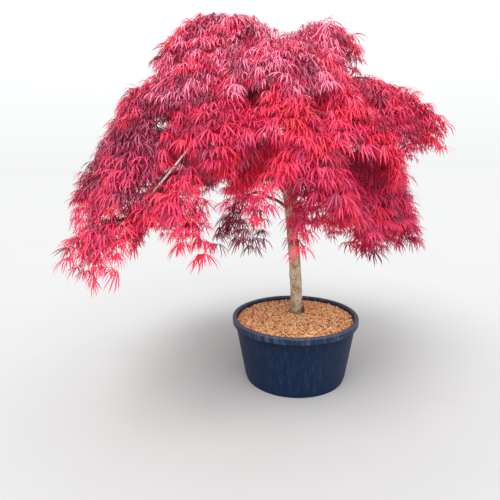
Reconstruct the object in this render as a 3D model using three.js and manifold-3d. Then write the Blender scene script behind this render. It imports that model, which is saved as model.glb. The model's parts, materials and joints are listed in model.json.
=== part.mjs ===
// A weeping laceleaf maple on a single trunk in a large round nursery container, in millimetres, +Z up.
// The origin is at the middle of the container's flat underside. +X is to the right and +Y to the back.
import * as THREE from "three";
import { mergeVertices } from "three/addons/utils/BufferGeometryUtils.js";
import Module from "manifold-3d";

const wasm = await Module();
wasm.setup();

// Clearance between two pieces that rest on each other
const SEAT_GAP = 0.3;

// Container, soil and top dressing
const POT = {
  height: 500,
  rimRadius: 490,
  rimWidth: 34,
  rimBand: 52,
  rimRound: 11,
  wall: 9,
  wallTopRadius: 466,
  baseRadius: 392,
  footHeight: 26,
  footStep: 7,
  floor: 12,
  facets: 32,
};
const MULCH_TOP = 472;
const MULCH_DEPTH = 36;

// Trunk: its middle line from the soil to the fork, and its radius there
const TRUNK = {
  foot: [26, 132],
  middle: [16, 126, 800],
  neck: [-16, 112, 1180],
  fork: [-52, 92, 1480],
  footRadius: 48,
  forkRadius: 40,
  flare: 6,
  flareReach: 0.07,
  lobes: 5,
  lobeDepth: 0.09,
  sides: 10,
  rings: 10,
};

// The vertical axis that the crown is laid out round
const CROWN_AXIS = [-52, 60];

const LIMB = { sides: 5, rings: 6, sway: 16, swayTurns: 1.2, handle: 0.36 };
const STEM = { root: 10, tip: 5.5, sides: 4, rings: 4, handle: 0.42, endPitch: -70 };
const TWIG = {
  pitch: 220,
  rootShare: 0.6,
  tip: 3.4,
  sides: 3,
  rings: 2,
  forward: 0.14,
  firstAt: 0.08,
  startPitch: 16,
  endPitch: -66,
  sag: 0.8,
  reaches: [1, 0.7, 0.45],
};
// outline: reach as a share of the leaf's length, angle from its middle line, and droop
// tries: the sizes and hands that a leaf takes in turn until it finds room
const LEAF = {
  length: 270,
  pitch: 108,
  apart: 128,
  sunk: 0.5,
  heart: 0.2,
  thick: 0.024,
  turn: 60,
  outline: [
    [0.84, -34, 0.1],
    [0.46, -15, 0],
    [1, 0, 0.06],
    [0.46, 15, 0],
    [0.84, 34, 0.1],
  ],
  tries: [[1, 1], [1, -1], [0.82, 1], [0.82, -1], [0.64, 1], [0.64, -1]],
};
const CLEAR = { limb: 9, space: 8, hang: 115, touch: 2, bareFrom: 0.5, bareTo: 0.86 };

// Each bough carries one mass of foliage. from: the parent limb and how far along it the bough leaves.
// start and tip: azimuth in degrees from +X towards +Y, distance from the crown's axis, and height.
// spread: half of the mass's width. pitch: how steeply its stem sets out above the horizontal, in degrees.
// handle: how far the bough keeps to the ways it sets out and arrives, where it differs from the others.
// bare: how far foliage keeps from the bough where it shows, past the first shares of its length.
const CROWN = [
  { name: "crest_left", from: ["trunk", 1], leave: 82, start: [184, 70, 2480], tip: [191, 790, 2400], spread: 300, pitch: 54, root: 26 },
  { name: "crest_right", from: ["crest_left", 0.5], leave: 70, start: [345, 80, 2530], tip: [334, 340, 2500], spread: 220, pitch: 56, root: 15 },
  { name: "crest_front", from: ["crest_left", 0.62], leave: 60, start: [232, 190, 2350], tip: [252, 660, 2160], spread: 270, pitch: 44, root: 14 },
  { name: "crest_middle", from: ["crest_left", 0.56], leave: 64, start: [236, 100, 2400], tip: [284, 560, 2130], spread: 240, pitch: 42, root: 13 },
  { name: "crest_front_left", from: ["crest_left", 0.46], leave: 62, start: [206, 300, 2290], tip: [209, 880, 2110], spread: 260, pitch: 40, root: 14 },
  { name: "crest_back", from: ["crest_left", 0.7], leave: 60, start: [90, 190, 2360], tip: [88, 810, 2100], spread: 340, pitch: 44, root: 13 },
  { name: "upper_left", from: ["crest_left", 0.22], leave: 56, start: [188, 400, 2150], tip: [194, 1100, 1990], spread: 300, pitch: 38, root: 17 },
  { name: "front_upper_left", from: ["crest_left", 0.14], leave: 62, start: [230, 380, 2000], tip: [232, 960, 1830], spread: 290, pitch: 34, root: 16 },
  { name: "front_upper", from: ["crest_left", 0.3], leave: 56, start: [258, 210, 1990], tip: [260, 860, 1870], spread: 280, pitch: 36, root: 14 },
  { name: "front_upper_right", from: ["crest_left", 0.26], leave: 60, start: [300, 200, 2000], tip: [292, 820, 1800], spread: 290, pitch: 36, root: 15 },
  { name: "upper_right", from: ["trunk", 0.97], leave: 66, start: [338, 270, 2110], tip: [332, 760, 1950], spread: 260, pitch: 40, root: 19 },
  { name: "arm_right", from: ["upper_right", 0.5], leave: 44, start: [8, 470, 2110], tip: [358, 970, 1950], spread: 250, pitch: 40, root: 12 },
  { name: "shoulder_right", from: ["upper_right", 0.34], leave: 60, start: [352, 360, 2190], tip: [344, 700, 2070], spread: 230, pitch: 44, root: 12 },
  { name: "back_left", from: ["trunk", 0.98], leave: 60, start: [140, 420, 2020], tip: [142, 1150, 1760], spread: 380, pitch: 36, root: 20 },
  { name: "back_right", from: ["trunk", 0.9], leave: 66, start: [48, 400, 2000], tip: [46, 1040, 1720], spread: 380, pitch: 36, root: 19 },
  { name: "flank_left", from: ["trunk", 0.93], leave: 60, start: [184, 680, 1850], tip: [186, 1390, 1530], spread: 290, pitch: 28, root: 20 },
  { name: "flank_front_left", from: ["flank_left", 0.4], leave: 34, start: [208, 660, 1840], tip: [210, 1260, 1580], spread: 280, pitch: 26, root: 14 },
  { name: "middle_left", from: ["upper_left", 0.4], leave: 20, start: [198, 520, 2010], tip: [202, 1190, 1810], spread: 280, pitch: 30, root: 14 },
  { name: "lobe_left", from: ["trunk", 1], leave: 50, start: [219, 1250, 1380], tip: [214, 1430, 1310], spread: 250, pitch: -45, root: 8, handle: 0.8, bare: 60 },
  { name: "front_left", from: ["trunk", 0.95], leave: 60, start: [230, 560, 1700], tip: [229, 1150, 1450], spread: 290, pitch: 18, root: 17 },
  { name: "front_low", from: ["trunk", 0.9], leave: 58, start: [268, 300, 1760], tip: [269, 990, 1610], spread: 270, pitch: 20, root: 17 },
  { name: "front_right", from: ["front_low", 0.3], leave: 20, start: [279, 340, 1690], tip: [281, 840, 1400], spread: 290, pitch: 12, root: 13 },
  { name: "skirt_right", from: ["trunk", 0.88], leave: 50, start: [326, 440, 1720], tip: [322, 770, 1340], spread: 280, pitch: 14, root: 18 },
  { name: "low_right", from: ["back_right", 0.3], leave: 20, start: [2, 440, 1720], tip: [2, 750, 1370], spread: 280, pitch: 14, root: 13 },
  { name: "skirt_back_right", from: ["back_right", 0.45], leave: 2, start: [46, 540, 1620], tip: [46, 1050, 1200], spread: 300, pitch: 14, root: 13 },
  { name: "skirt_back", from: ["back_left", 0.36], leave: 34, start: [96, 460, 1850], tip: [96, 1100, 1540], spread: 310, pitch: 18, root: 13 },
  { name: "skirt_back_left", from: ["back_left", 0.5], leave: 4, start: [148, 740, 1600], tip: [152, 1300, 1270], spread: 320, pitch: 14, root: 13 },
  { name: "low_spray", from: ["trunk", 0.84], leave: 24, start: [226, 400, 1460], tip: [229, 560, 1270], spread: 110, pitch: -8, root: 12 },
];

const COLOURS = {
  pot: 0x2b3140,
  soil: 0x2e2119,
  mulch: 0xb5794c,
  bark: 0x8c7b62,
  bough: 0x77684f,
  leafTints: [0xc8102e, 0xb40f2c, 0xd61a3c, 0xa3122f, 0xbf1f45],
};

const UP = new THREE.Vector3(0, 0, 1);
const radians = THREE.MathUtils.degToRad;
const lerp = THREE.MathUtils.lerp;

// A repeatable source of numbers from 0 to 1.
function seeded(seed) {
  let state = seed >>> 0;
  return () => {
    state = (Math.imul(state, 1664525) + 1013904223) >>> 0;
    return state / 4294967296;
  };
}

// A point given by azimuth, distance from the crown's axis and height.
function polar([azimuth, distance, height]) {
  return new THREE.Vector3(
    CROWN_AXIS[0] + distance * Math.cos(radians(azimuth)),
    CROWN_AXIS[1] + distance * Math.sin(radians(azimuth)),
    height,
  );
}

// The horizontal unit vector away from the crown's axis.
function outwardAt(point) {
  return new THREE.Vector3(point.x - CROWN_AXIS[0], point.y - CROWN_AXIS[1], 0).normalize();
}

// A direction that heads for a target in plan and is pitched above the horizontal.
function pitched(from, to, pitch) {
  const level = new THREE.Vector3(to.x - from.x, to.y - from.y, 0).normalize();
  return level.multiplyScalar(Math.cos(radians(pitch))).addScaledVector(UP, Math.sin(radians(pitch)));
}

// A smooth arch that leaves and arrives in given directions.
function arch(start, startDirection, end, endDirection, handle) {
  const reach = start.distanceTo(end) * handle;
  return new THREE.CubicBezierCurve3(
    start,
    start.clone().addScaledVector(startDirection, reach),
    end.clone().addScaledVector(endDirection, -reach),
    end,
  );
}

// A bough's middle line: an arch with the slow sideways sway of an old limb.
class LimbLine extends THREE.Curve {
  constructor(line, phase) {
    super();
    this.line = line;
    const ends = line.v3.clone().sub(line.v0);
    this.side = new THREE.Vector3(-ends.y, ends.x, 0).normalize();
    this.phase = phase;
  }
  getPoint(t, target = new THREE.Vector3()) {
    const envelope = Math.sin(Math.PI * t) ** 2;
    const turn = 2 * Math.PI * LIMB.swayTurns * t + this.phase;
    this.line.getPoint(t, target);
    target.addScaledVector(this.side, LIMB.sway * envelope * Math.sin(turn));
    return target.addScaledVector(UP, 0.6 * LIMB.sway * envelope * Math.cos(turn * 1.3));
  }
}

// A tapering limb: a cylinder bent along a curve. radiusAt takes the share of the length and the angle round it.
function limbGeometry(curve, radiusAt, sides, rings, pointed = false, grow = 0) {
  const geometry = new THREE.CylinderGeometry(pointed ? 0 : 1, 1, 1, sides, rings);
  const frames = curve.computeFrenetFrames(rings, false);
  const position = geometry.getAttribute("position");
  const point = new THREE.Vector3();
  for (let i = 0; i < position.count; i++) {
    const share = position.getY(i) + 0.5;
    const ring = Math.round(share * rings);
    const x = position.getX(i);
    const z = position.getZ(i);
    const offCentre = Math.hypot(x, z) > 1e-6;
    const angle = Math.atan2(z, x);
    const radius = offCentre ? radiusAt(share, angle) + grow : 0;
    const tangent = frames.tangents[ring];
    const across = frames.normals[ring].clone().cross(tangent);
    point.copy(curve.getPointAt(Math.min(1, Math.max(0, share))));
    point.addScaledVector(frames.normals[ring], radius * Math.cos(angle));
    point.addScaledVector(across, radius * Math.sin(angle));
    if (ring === 0) point.addScaledVector(tangent, -grow);
    if (ring === rings) point.addScaledVector(tangent, grow);
    position.setXYZ(i, point.x, point.y, point.z);
  }
  return geometry;
}

// A lobed leaf, thickest at its heart. Its pointed root lies behind the twig's middle line.
function leafGeometry(root, along, facing, length) {
  const side = along.clone().cross(facing).normalize();
  const face = side.clone().cross(along).normalize();
  const back = root.clone().addScaledVector(along, -LEAF.sunk);
  const at = (reach, angle, lift, droop) =>
    back
      .clone()
      .addScaledVector(along, reach * length * Math.cos(radians(angle)))
      .addScaledVector(side, reach * length * Math.sin(radians(angle)))
      .addScaledVector(face, lift * length)
      .addScaledVector(UP, -droop * length);
  const outline = [back];
  for (const [reach, angle, droop] of LEAF.outline) outline.push(at(reach, angle, 0, droop));
  const heart = [at(LEAF.heart, 0, LEAF.thick, 0), at(LEAF.heart, 0, -0.2 * LEAF.thick, 0)];
  const count = outline.length;
  const index = [];
  for (let i = 0; i < count; i++) {
    const next = (i + 1) % count;
    index.push(count, next, i, count + 1, i, next);
  }
  return new THREE.BufferGeometry().setFromPoints([...outline, ...heart]).setIndex(index);
}

// A point on the straight facets that stand for a curve.
function facetPoint(curve, rings, share) {
  const ring = Math.min(rings - 1, Math.floor(share * rings));
  return curve.getPointAt(ring / rings).lerp(curve.getPointAt((ring + 1) / rings), share * rings - ring);
}

// A closed geometry as a solid that can be joined and cut.
function solidOf(geometry) {
  const bare = geometry.clone();
  bare.deleteAttribute("normal");
  bare.deleteAttribute("uv");
  const merged = mergeVertices(bare, 1e-4);
  return new wasm.Manifold(
    new wasm.Mesh({
      numProp: 3,
      vertProperties: new Float32Array(merged.getAttribute("position").array),
      triVerts: new Uint32Array(merged.index.array),
    }),
  );
}

// The largest body of a solid, with any loose scrap or sealed hollow left out.
function largestBody(solid) {
  return solid.decompose().reduce((best, body) => (body.volume() > best.volume() ? body : best));
}

// A solid as a named mesh with its own material.
function meshOf(solid, name, colour, roughness) {
  const { numProp, vertProperties, triVerts } = solid.getMesh();
  const count = vertProperties.length / numProp;
  const points = new Float32Array(count * 3);
  for (let i = 0; i < count; i++) {
    points.set(vertProperties.subarray(i * numProp, i * numProp + 3), i * 3);
  }
  const geometry = new THREE.BufferGeometry()
    .setAttribute("position", new THREE.BufferAttribute(points, 3))
    .setIndex(new THREE.BufferAttribute(triVerts, 1))
    .toNonIndexed();
  geometry.computeVertexNormals();
  const material = new THREE.MeshStandardMaterial({ color: colour, roughness, metalness: 0 });
  const mesh = new THREE.Mesh(geometry, material);
  mesh.name = name;
  return mesh;
}

// A solid of revolution about Z from a profile of [radius, height] points.
function turned(profile, facets) {
  const points = profile.map(([radius, height]) => new THREE.Vector2(radius, height));
  return solidOf(new THREE.LatheGeometry(points, facets).rotateX(Math.PI / 2));
}

// The container's outer wall radius at a height.
function wallRadius(height) {
  return lerp(POT.baseRadius, POT.wallTopRadius, height / (POT.height - POT.rimBand));
}

// The container: a tapering wall on a low foot, with a broad rolled rim.
function potSolid() {
  const inner = POT.rimRadius - POT.rimWidth;
  const under = POT.height - POT.rimBand;
  return turned(
    [
      [0, 0],
      [POT.baseRadius - POT.footStep, 0],
      [POT.baseRadius - POT.footStep, POT.footHeight],
      [wallRadius(POT.footHeight), POT.footHeight + POT.footStep],
      [wallRadius(under), under],
      [POT.rimRadius - 4, under + 2],
      [POT.rimRadius, POT.height - POT.rimRound],
      [POT.rimRadius - 0.4 * POT.rimRound, POT.height - 0.3 * POT.rimRound],
      [POT.rimRadius - POT.rimRound, POT.height],
      [inner + 0.6 * POT.rimRound, POT.height],
      [inner, POT.height - 0.6 * POT.rimRound],
      [wallRadius(under) - POT.wall, under],
      [wallRadius(POT.floor) - POT.wall - POT.footStep, POT.floor],
      [0, POT.floor],
    ],
    POT.facets,
  );
}

// The container's inner wall radius at a height, less the seating gap.
function boreRadius(height) {
  const under = POT.height - POT.rimBand;
  const rimInner = POT.rimRadius - POT.rimWidth;
  const top = wallRadius(under) - POT.wall;
  const bottom = wallRadius(POT.floor) - POT.wall - POT.footStep;
  const radius =
    height > under
      ? lerp(top, rimInner, (height - under) / (POT.rimBand - 0.6 * POT.rimRound))
      : lerp(bottom, top, (height - POT.floor) / (under - POT.floor));
  return radius - 2 * SEAT_GAP;
}

function soilSolid() {
  const top = MULCH_TOP - MULCH_DEPTH;
  const bottom = POT.floor + SEAT_GAP;
  return turned([[0, bottom], [boreRadius(bottom), bottom], [boreRadius(top), top], [0, top]], POT.facets);
}

// The top dressing: a ring from the container's wall to the trunk, a little lower at the wall.
function mulchSolid(trunkRoom) {
  const bottom = MULCH_TOP - MULCH_DEPTH + SEAT_GAP;
  const under = POT.height - POT.rimBand;
  const edge = MULCH_TOP - 6;
  const ring = turned(
    [[0, bottom], [boreRadius(bottom), bottom], [boreRadius(under), under], [boreRadius(edge), edge], [300, MULCH_TOP], [0, MULCH_TOP]],
    POT.facets,
  );
  return ring.subtract(trunkRoom);
}

const trunkLine = new THREE.CatmullRomCurve3([
  new THREE.Vector3(...TRUNK.foot, MULCH_TOP - MULCH_DEPTH + SEAT_GAP),
  new THREE.Vector3(...TRUNK.middle),
  new THREE.Vector3(...TRUNK.neck),
  new THREE.Vector3(...TRUNK.fork),
]);

// The trunk's radius: a steady taper, with a flare of shallow lobes where the roots set out.
function trunkRadius(share, angle) {
  const flare = Math.exp(-share / TRUNK.flareReach);
  const lobes = 1 + TRUNK.lobeDepth * flare * Math.cos(TRUNK.lobes * angle);
  return (lerp(TRUNK.footRadius, TRUNK.forkRadius, share) + TRUNK.flare * flare) * lobes;
}

// The trunk's foot is cut flat and level, whatever its lean.
function trunkSolid(grow = 0) {
  const geometry = limbGeometry(trunkLine, trunkRadius, TRUNK.sides, TRUNK.rings, false, grow);
  const position = geometry.getAttribute("position");
  const foot = MULCH_TOP - MULCH_DEPTH + SEAT_GAP - grow;
  const firstRing = foot + 0.5 * (trunkLine.getLength() / TRUNK.rings);
  for (let i = 0; i < position.count; i++) {
    if (position.getZ(i) < firstRing) position.setZ(i, foot);
  }
  return solidOf(geometry);
}

// A bough's line from its parent limb to the point where its foliage begins.
function boughLine(row, parentLine, order) {
  const start = parentLine.getPointAt(Math.min(0.999, row.from[1]));
  const end = polar(row.start);
  const leave = pitched(start, end, row.leave);
  const arrive = pitched(end, polar(row.tip), row.pitch);
  return new LimbLine(arch(start, leave, end, arrive, row.handle ?? LIMB.handle), order);
}

// The stem of a mass: an arch from the bough's end, over and down to the tip.
function stemLine(row, bough) {
  const arrive = bough.getTangentAt(1);
  const start = polar(row.start).addScaledVector(arrive, SEAT_GAP);
  const tip = polar(row.tip);
  return arch(start, arrive, tip, pitched(start, tip, STEM.endPitch), STEM.handle);
}

// The level direction across a mass.
function acrossOf(stem) {
  const ends = stem.v3.clone().sub(stem.v0);
  return new THREE.Vector3(-ends.y, ends.x, 0).normalize();
}

// A point of the fan that a mass fills: beside its stem, and sagging towards the fan's edge.
function fanPoint(row, stem, along, across) {
  const point = stem.getPointAt(along).addScaledVector(acrossOf(stem), across * row.spread);
  return point.addScaledVector(UP, -TWIG.sag * row.spread * across * across);
}

// Points along a curve, for measuring how near something comes to it.
function samples(curve, spacing) {
  const count = Math.max(2, Math.ceil(curve.getLength() / spacing));
  return Array.from({ length: count + 1 }, (_, i) => curve.getPointAt(i / count));
}

// Foliage keeps clear of every limb. It hangs, so its space is the one nearest to its stem's line let down a little.
function makeSpaces(limbs, stems) {
  const limbPoints = limbs.flatMap(({ line, radiusAt, bare }) => {
    const points = samples(line, 18);
    return points.map((point, i) => {
      const share = i / (points.length - 1);
      const room = share > CLEAR.bareFrom && share < CLEAR.bareTo ? bare : 0;
      return { point, radius: radiusAt(share, 0) + room };
    });
  });
  const hang = new THREE.Vector3(0, 0, -CLEAR.hang);
  const hangPoints = stems.map((stem) => samples(stem, 40).map((point) => point.add(hang)));
  const nearest = (points, point) => Math.sqrt(Math.min(...points.map((p) => p.distanceToSquared(point))));
  return (own, points) =>
    points.every((point) => {
      const distance = nearest(hangPoints[own], point);
      return (
        limbPoints.every((limb) => limb.point.distanceTo(point) > limb.radius + CLEAR.limb) &&
        hangPoints.every((others, i) => i === own || nearest(others, point) > distance + CLEAR.space)
      );
    });
}

// Points spread over a leaf, for the tests of space.
function leafPoints(geometry) {
  const position = geometry.getAttribute("position");
  const corner = (i) => new THREE.Vector3().fromBufferAttribute(position, i);
  const root = corner(0);
  const points = [];
  for (let i = 1; i < position.count; i++) {
    const tip = corner(i);
    for (const share of [0.35, 0.7, 1]) points.push(root.clone().lerp(tip, share));
  }
  return points;
}

// A radius that changes evenly along a limb.
function taper(root, tip) {
  return (share) => lerp(root, tip, share);
}

function stemSolid(stem) {
  return solidOf(limbGeometry(stem, taper(STEM.root, STEM.tip), STEM.sides, STEM.rings));
}

// Whether a solid comes within touching distance of any of the others.
function touchesAny(solid, others) {
  const { min, max } = solid.boundingBox();
  return others.some((other) => {
    const box = other.boundingBox();
    const apart = [0, 1, 2].some((k) => box.min[k] > max[k] + CLEAR.touch || box.max[k] < min[k] - CLEAR.touch);
    return !apart && solid.minGap(other, CLEAR.touch) < CLEAR.touch;
  });
}

// One mass: a stem, twigs that leave it on both sides, and leaves along each twig and the stem.
function foliageSolid(row, stem, own, isClear, others) {
  const random = seeded(4021 + 97 * own);
  const spray = (amount) => (random() - 0.5) * 2 * amount;
  let solid = stemSolid(stem);
  const middles = [];
  const hangLeaf = (curve, rings, share, hand) => {
    const point = facetPoint(curve, rings, share);
    const tangent = curve.getTangentAt(share);
    const outward = outwardAt(point);
    const hanging = outward
      .clone()
      .multiplyScalar(0.22)
      .addScaledVector(UP, -0.72 + spray(0.12))
      .addScaledVector(tangent, 0.25);
    const aside = tangent.clone().cross(UP).normalize().multiplyScalar(0.5 * hand + spray(0.14));
    const facing = outward.clone().applyAxisAngle(UP, radians(spray(LEAF.turn))).addScaledVector(UP, 0.7);
    const length = LEAF.length * (1 + spray(0.12));
    for (const [size, sign] of LEAF.tries) {
      const along = hanging.clone().addScaledVector(aside, sign).normalize();
      const middle = point.clone().addScaledVector(along, 0.6 * length * size);
      if (middles.some((other) => other.distanceTo(middle) < LEAF.apart)) continue;
      const geometry = leafGeometry(point, along, facing, length * size);
      if (!isClear(own, leafPoints(geometry))) continue;
      const leaf = solidOf(geometry);
      if (leaf.intersect(solid).decompose().length !== 1 || touchesAny(leaf, others)) continue;
      middles.push(middle);
      solid = solid.add(leaf);
      return;
    }
  };
  const twigCount = Math.max(2, Math.round((stem.getLength() * (1 - TWIG.firstAt)) / TWIG.pitch));
  for (let i = 0; i < twigCount; i++) {
    for (const side of [-1, 1]) {
      const along = TWIG.firstAt + ((1 - TWIG.firstAt) * (i + 0.3 + 0.2 * side + spray(0.1))) / twigCount;
      const across = side * (0.7 + 0.3 * Math.sin(Math.PI * along)) * (1 + spray(0.1));
      const start = facetPoint(stem, STEM.rings, along);
      const startPitch = TWIG.startPitch + spray(8);
      const twig = TWIG.reaches
        .map((reach) => {
          const end = fanPoint(row, stem, Math.min(1, along + TWIG.forward * reach), across * reach);
          return arch(start, pitched(start, end, startPitch), end, pitched(start, end, TWIG.endPitch), STEM.handle);
        })
        .find((curve) => isClear(own, samples(curve, 30).slice(1)));
      if (!twig) continue;
      const twigRadius = taper(TWIG.rootShare * lerp(STEM.root, STEM.tip, along), TWIG.tip);
      const shoot = solidOf(limbGeometry(twig, twigRadius, TWIG.sides, TWIG.rings));
      if (touchesAny(shoot, others)) continue;
      solid = solid.add(shoot);
      const leafCount = Math.max(1, Math.round(twig.getLength() / LEAF.pitch));
      for (let k = 0; k < leafCount; k++) {
        hangLeaf(twig, TWIG.rings, 0.99 - (0.8 * k) / leafCount, k % 2 ? 1 : -1);
      }
    }
    const between = TWIG.firstAt + ((1 - TWIG.firstAt) * (i + 0.95)) / twigCount - 0.02;
    hangLeaf(stem, STEM.rings, between, i % 2 ? 0.5 : -0.5);
  }
  return largestBody(solid);
}

// The radius of a bough along its length.
function boughRadius(row) {
  return (share) => lerp(row.root, Math.min(row.root, STEM.root), share ** 0.8);
}

const plant = new THREE.Group();
const trunk = trunkSolid();
plant.add(meshOf(potSolid(), "container", COLOURS.pot, 0.45));
plant.add(meshOf(soilSolid(), "potting_soil", COLOURS.soil, 1));
plant.add(meshOf(largestBody(mulchSolid(trunkSolid(SEAT_GAP))), "mulch", COLOURS.mulch, 0.9));
plant.add(meshOf(trunk, "trunk", COLOURS.bark, 0.85));

const lines = { trunk: trunkLine };
const limbs = [{ line: trunkLine, radiusAt: trunkRadius, bare: 0 }];
const placed = [trunkSolid(SEAT_GAP)];
CROWN.forEach((row, order) => {
  const line = boughLine(row, lines[row.from[0]], order);
  const radiusAt = boughRadius(row);
  const shape = (grow) => solidOf(limbGeometry(line, radiusAt, LIMB.sides, LIMB.rings, false, grow));
  const cut = placed.reduce((solid, other) => solid.subtract(other), shape(0));
  plant.add(meshOf(largestBody(cut), "bough_" + row.name, COLOURS.bough, 0.8));
  placed.push(shape(SEAT_GAP));
  lines[row.name] = line;
  limbs.push({ line, radiusAt, bare: row.bare ?? 0 });
});

const stems = CROWN.map((row) => stemLine(row, lines[row.name]));
const isClear = makeSpaces(limbs, stems);
const masses = stems.map(stemSolid);
CROWN.forEach((row, own) => {
  const tint = COLOURS.leafTints[own % COLOURS.leafTints.length];
  const others = masses.filter((mass, i) => i !== own);
  masses[own] = foliageSolid(row, stems[own], own, isClear, others);
  plant.add(meshOf(masses[own], "foliage_" + row.name, tint, 0.6));
});

export default plant;
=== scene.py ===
"""A weeping laceleaf maple in a large round nursery container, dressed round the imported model.

Lengths are metres and angles are degrees, unless a docstring says otherwise. The crown's table
keeps millimetres. The origin is at the middle of the container's underside, +X is to the right and
+Y to the back.
"""

from __future__ import annotations

import json
import logging
import math
from dataclasses import dataclass, field
from enum import Enum
from typing import Callable, Iterable, NamedTuple, Sequence

import bmesh
import bpy
import numpy as np
from mathutils import Euler, Matrix, Vector, kdtree, noise

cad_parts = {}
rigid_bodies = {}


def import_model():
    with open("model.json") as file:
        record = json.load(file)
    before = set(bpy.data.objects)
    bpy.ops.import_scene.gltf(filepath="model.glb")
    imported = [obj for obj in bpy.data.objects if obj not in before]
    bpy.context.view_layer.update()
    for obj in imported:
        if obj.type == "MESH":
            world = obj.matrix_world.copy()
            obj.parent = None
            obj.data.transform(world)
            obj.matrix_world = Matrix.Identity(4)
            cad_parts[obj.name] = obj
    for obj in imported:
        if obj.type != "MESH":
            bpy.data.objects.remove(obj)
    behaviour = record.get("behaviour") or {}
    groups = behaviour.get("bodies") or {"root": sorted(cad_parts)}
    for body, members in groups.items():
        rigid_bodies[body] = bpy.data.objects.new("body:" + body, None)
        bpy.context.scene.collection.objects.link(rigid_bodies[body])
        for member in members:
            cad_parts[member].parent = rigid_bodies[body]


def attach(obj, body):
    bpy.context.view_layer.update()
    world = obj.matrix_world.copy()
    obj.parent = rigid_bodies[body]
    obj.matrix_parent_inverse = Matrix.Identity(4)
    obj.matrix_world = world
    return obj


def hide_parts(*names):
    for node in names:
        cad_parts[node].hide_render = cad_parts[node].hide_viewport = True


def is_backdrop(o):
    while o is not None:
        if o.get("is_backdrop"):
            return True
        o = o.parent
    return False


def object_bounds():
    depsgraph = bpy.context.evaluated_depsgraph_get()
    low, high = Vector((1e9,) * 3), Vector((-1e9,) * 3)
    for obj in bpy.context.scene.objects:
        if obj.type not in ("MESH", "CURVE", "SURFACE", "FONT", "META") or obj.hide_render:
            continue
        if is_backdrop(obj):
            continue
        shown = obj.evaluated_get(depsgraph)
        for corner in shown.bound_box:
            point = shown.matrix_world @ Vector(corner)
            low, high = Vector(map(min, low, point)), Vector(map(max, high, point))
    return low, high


log = logging.getLogger("maple")

Array = np.ndarray
Colour = tuple[float, float, float]
Span = tuple[float, float]

MM = 0.001
UP = np.array([0.0, 0.0, 1.0])
NEARLY_UP = UP + 0.013
TINY = 1e-12
FULL_TURN = 2 * math.pi
MERGED = 1e-6
BODY = "root"
MOST_TRIANGLES = 190_000
TRUNK_FOOT = (0.026, 0.132)
SOIL_TOP = 0.4363


def linear(red: int, green: int, blue: int) -> Colour:
    """A colour named in the usual 0 to 255 steps, as the light that it stands for."""
    steps = (red / 255, green / 255, blue / 255)
    return tuple(v / 12.92 if v <= 0.04045 else ((v + 0.055) / 1.055) ** 2.4 for v in steps)


def unit(vectors: Array) -> Array:
    """Vectors scaled to a length of one."""
    return vectors / np.maximum(np.linalg.norm(vectors, axis=-1, keepdims=True), TINY)


def lerp(a: Array | float, b: Array | float, share: Array | float) -> Array | float:
    """The value a given share of the way from a to b."""
    return a + (b - a) * share


# Materials


def operator(operation: str, reflected: bool = False) -> Callable[[Wire, Wire | float], Wire]:
    """Makes the method of a Wire that stands for an operator.

    Args:
        operation: The Math node's operation.
        reflected: Whether the wire is the second value.

    Returns:
        The method.
    """

    def apply(self: Wire, other: Wire | float) -> Wire:
        """A Math node on the two values."""
        return self.math(operation, *((other, self) if reflected else (self, other)))

    return apply


@dataclass(frozen=True)
class Wire:
    """A socket that gives a value in a node tree. Arithmetic on it adds Math nodes."""

    nodes: Nodes
    socket: bpy.types.NodeSocket

    __add__ = operator("ADD")
    __radd__ = operator("ADD", reflected=True)
    __sub__ = operator("SUBTRACT")
    __rsub__ = operator("SUBTRACT", reflected=True)
    __mul__ = operator("MULTIPLY")
    __rmul__ = operator("MULTIPLY", reflected=True)
    __truediv__ = operator("DIVIDE")

    def math(self, operation: str, *values: Wire | float) -> Wire:
        """A Math node on the given values."""
        return self.nodes.made("ShaderNodeMath", {"operation": operation}, dict(enumerate(values)))

    def sine(self) -> Wire:
        """The sine of the value, in radians."""
        return self.math("SINE", self)

    def angle_to(self, other: Wire) -> Wire:
        """The angle of the point (other, self) round the origin, in radians."""
        return self.math("ARCTAN2", self, other)

    def between(self, low: float, high: float) -> Wire:
        """A smooth step from 0 at low to 1 at high."""
        inputs = {"Value": self, "From Min": low, "From Max": high}
        return self.nodes.made("ShaderNodeMapRange", {"interpolation_type": "SMOOTHSTEP"}, inputs)


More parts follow.
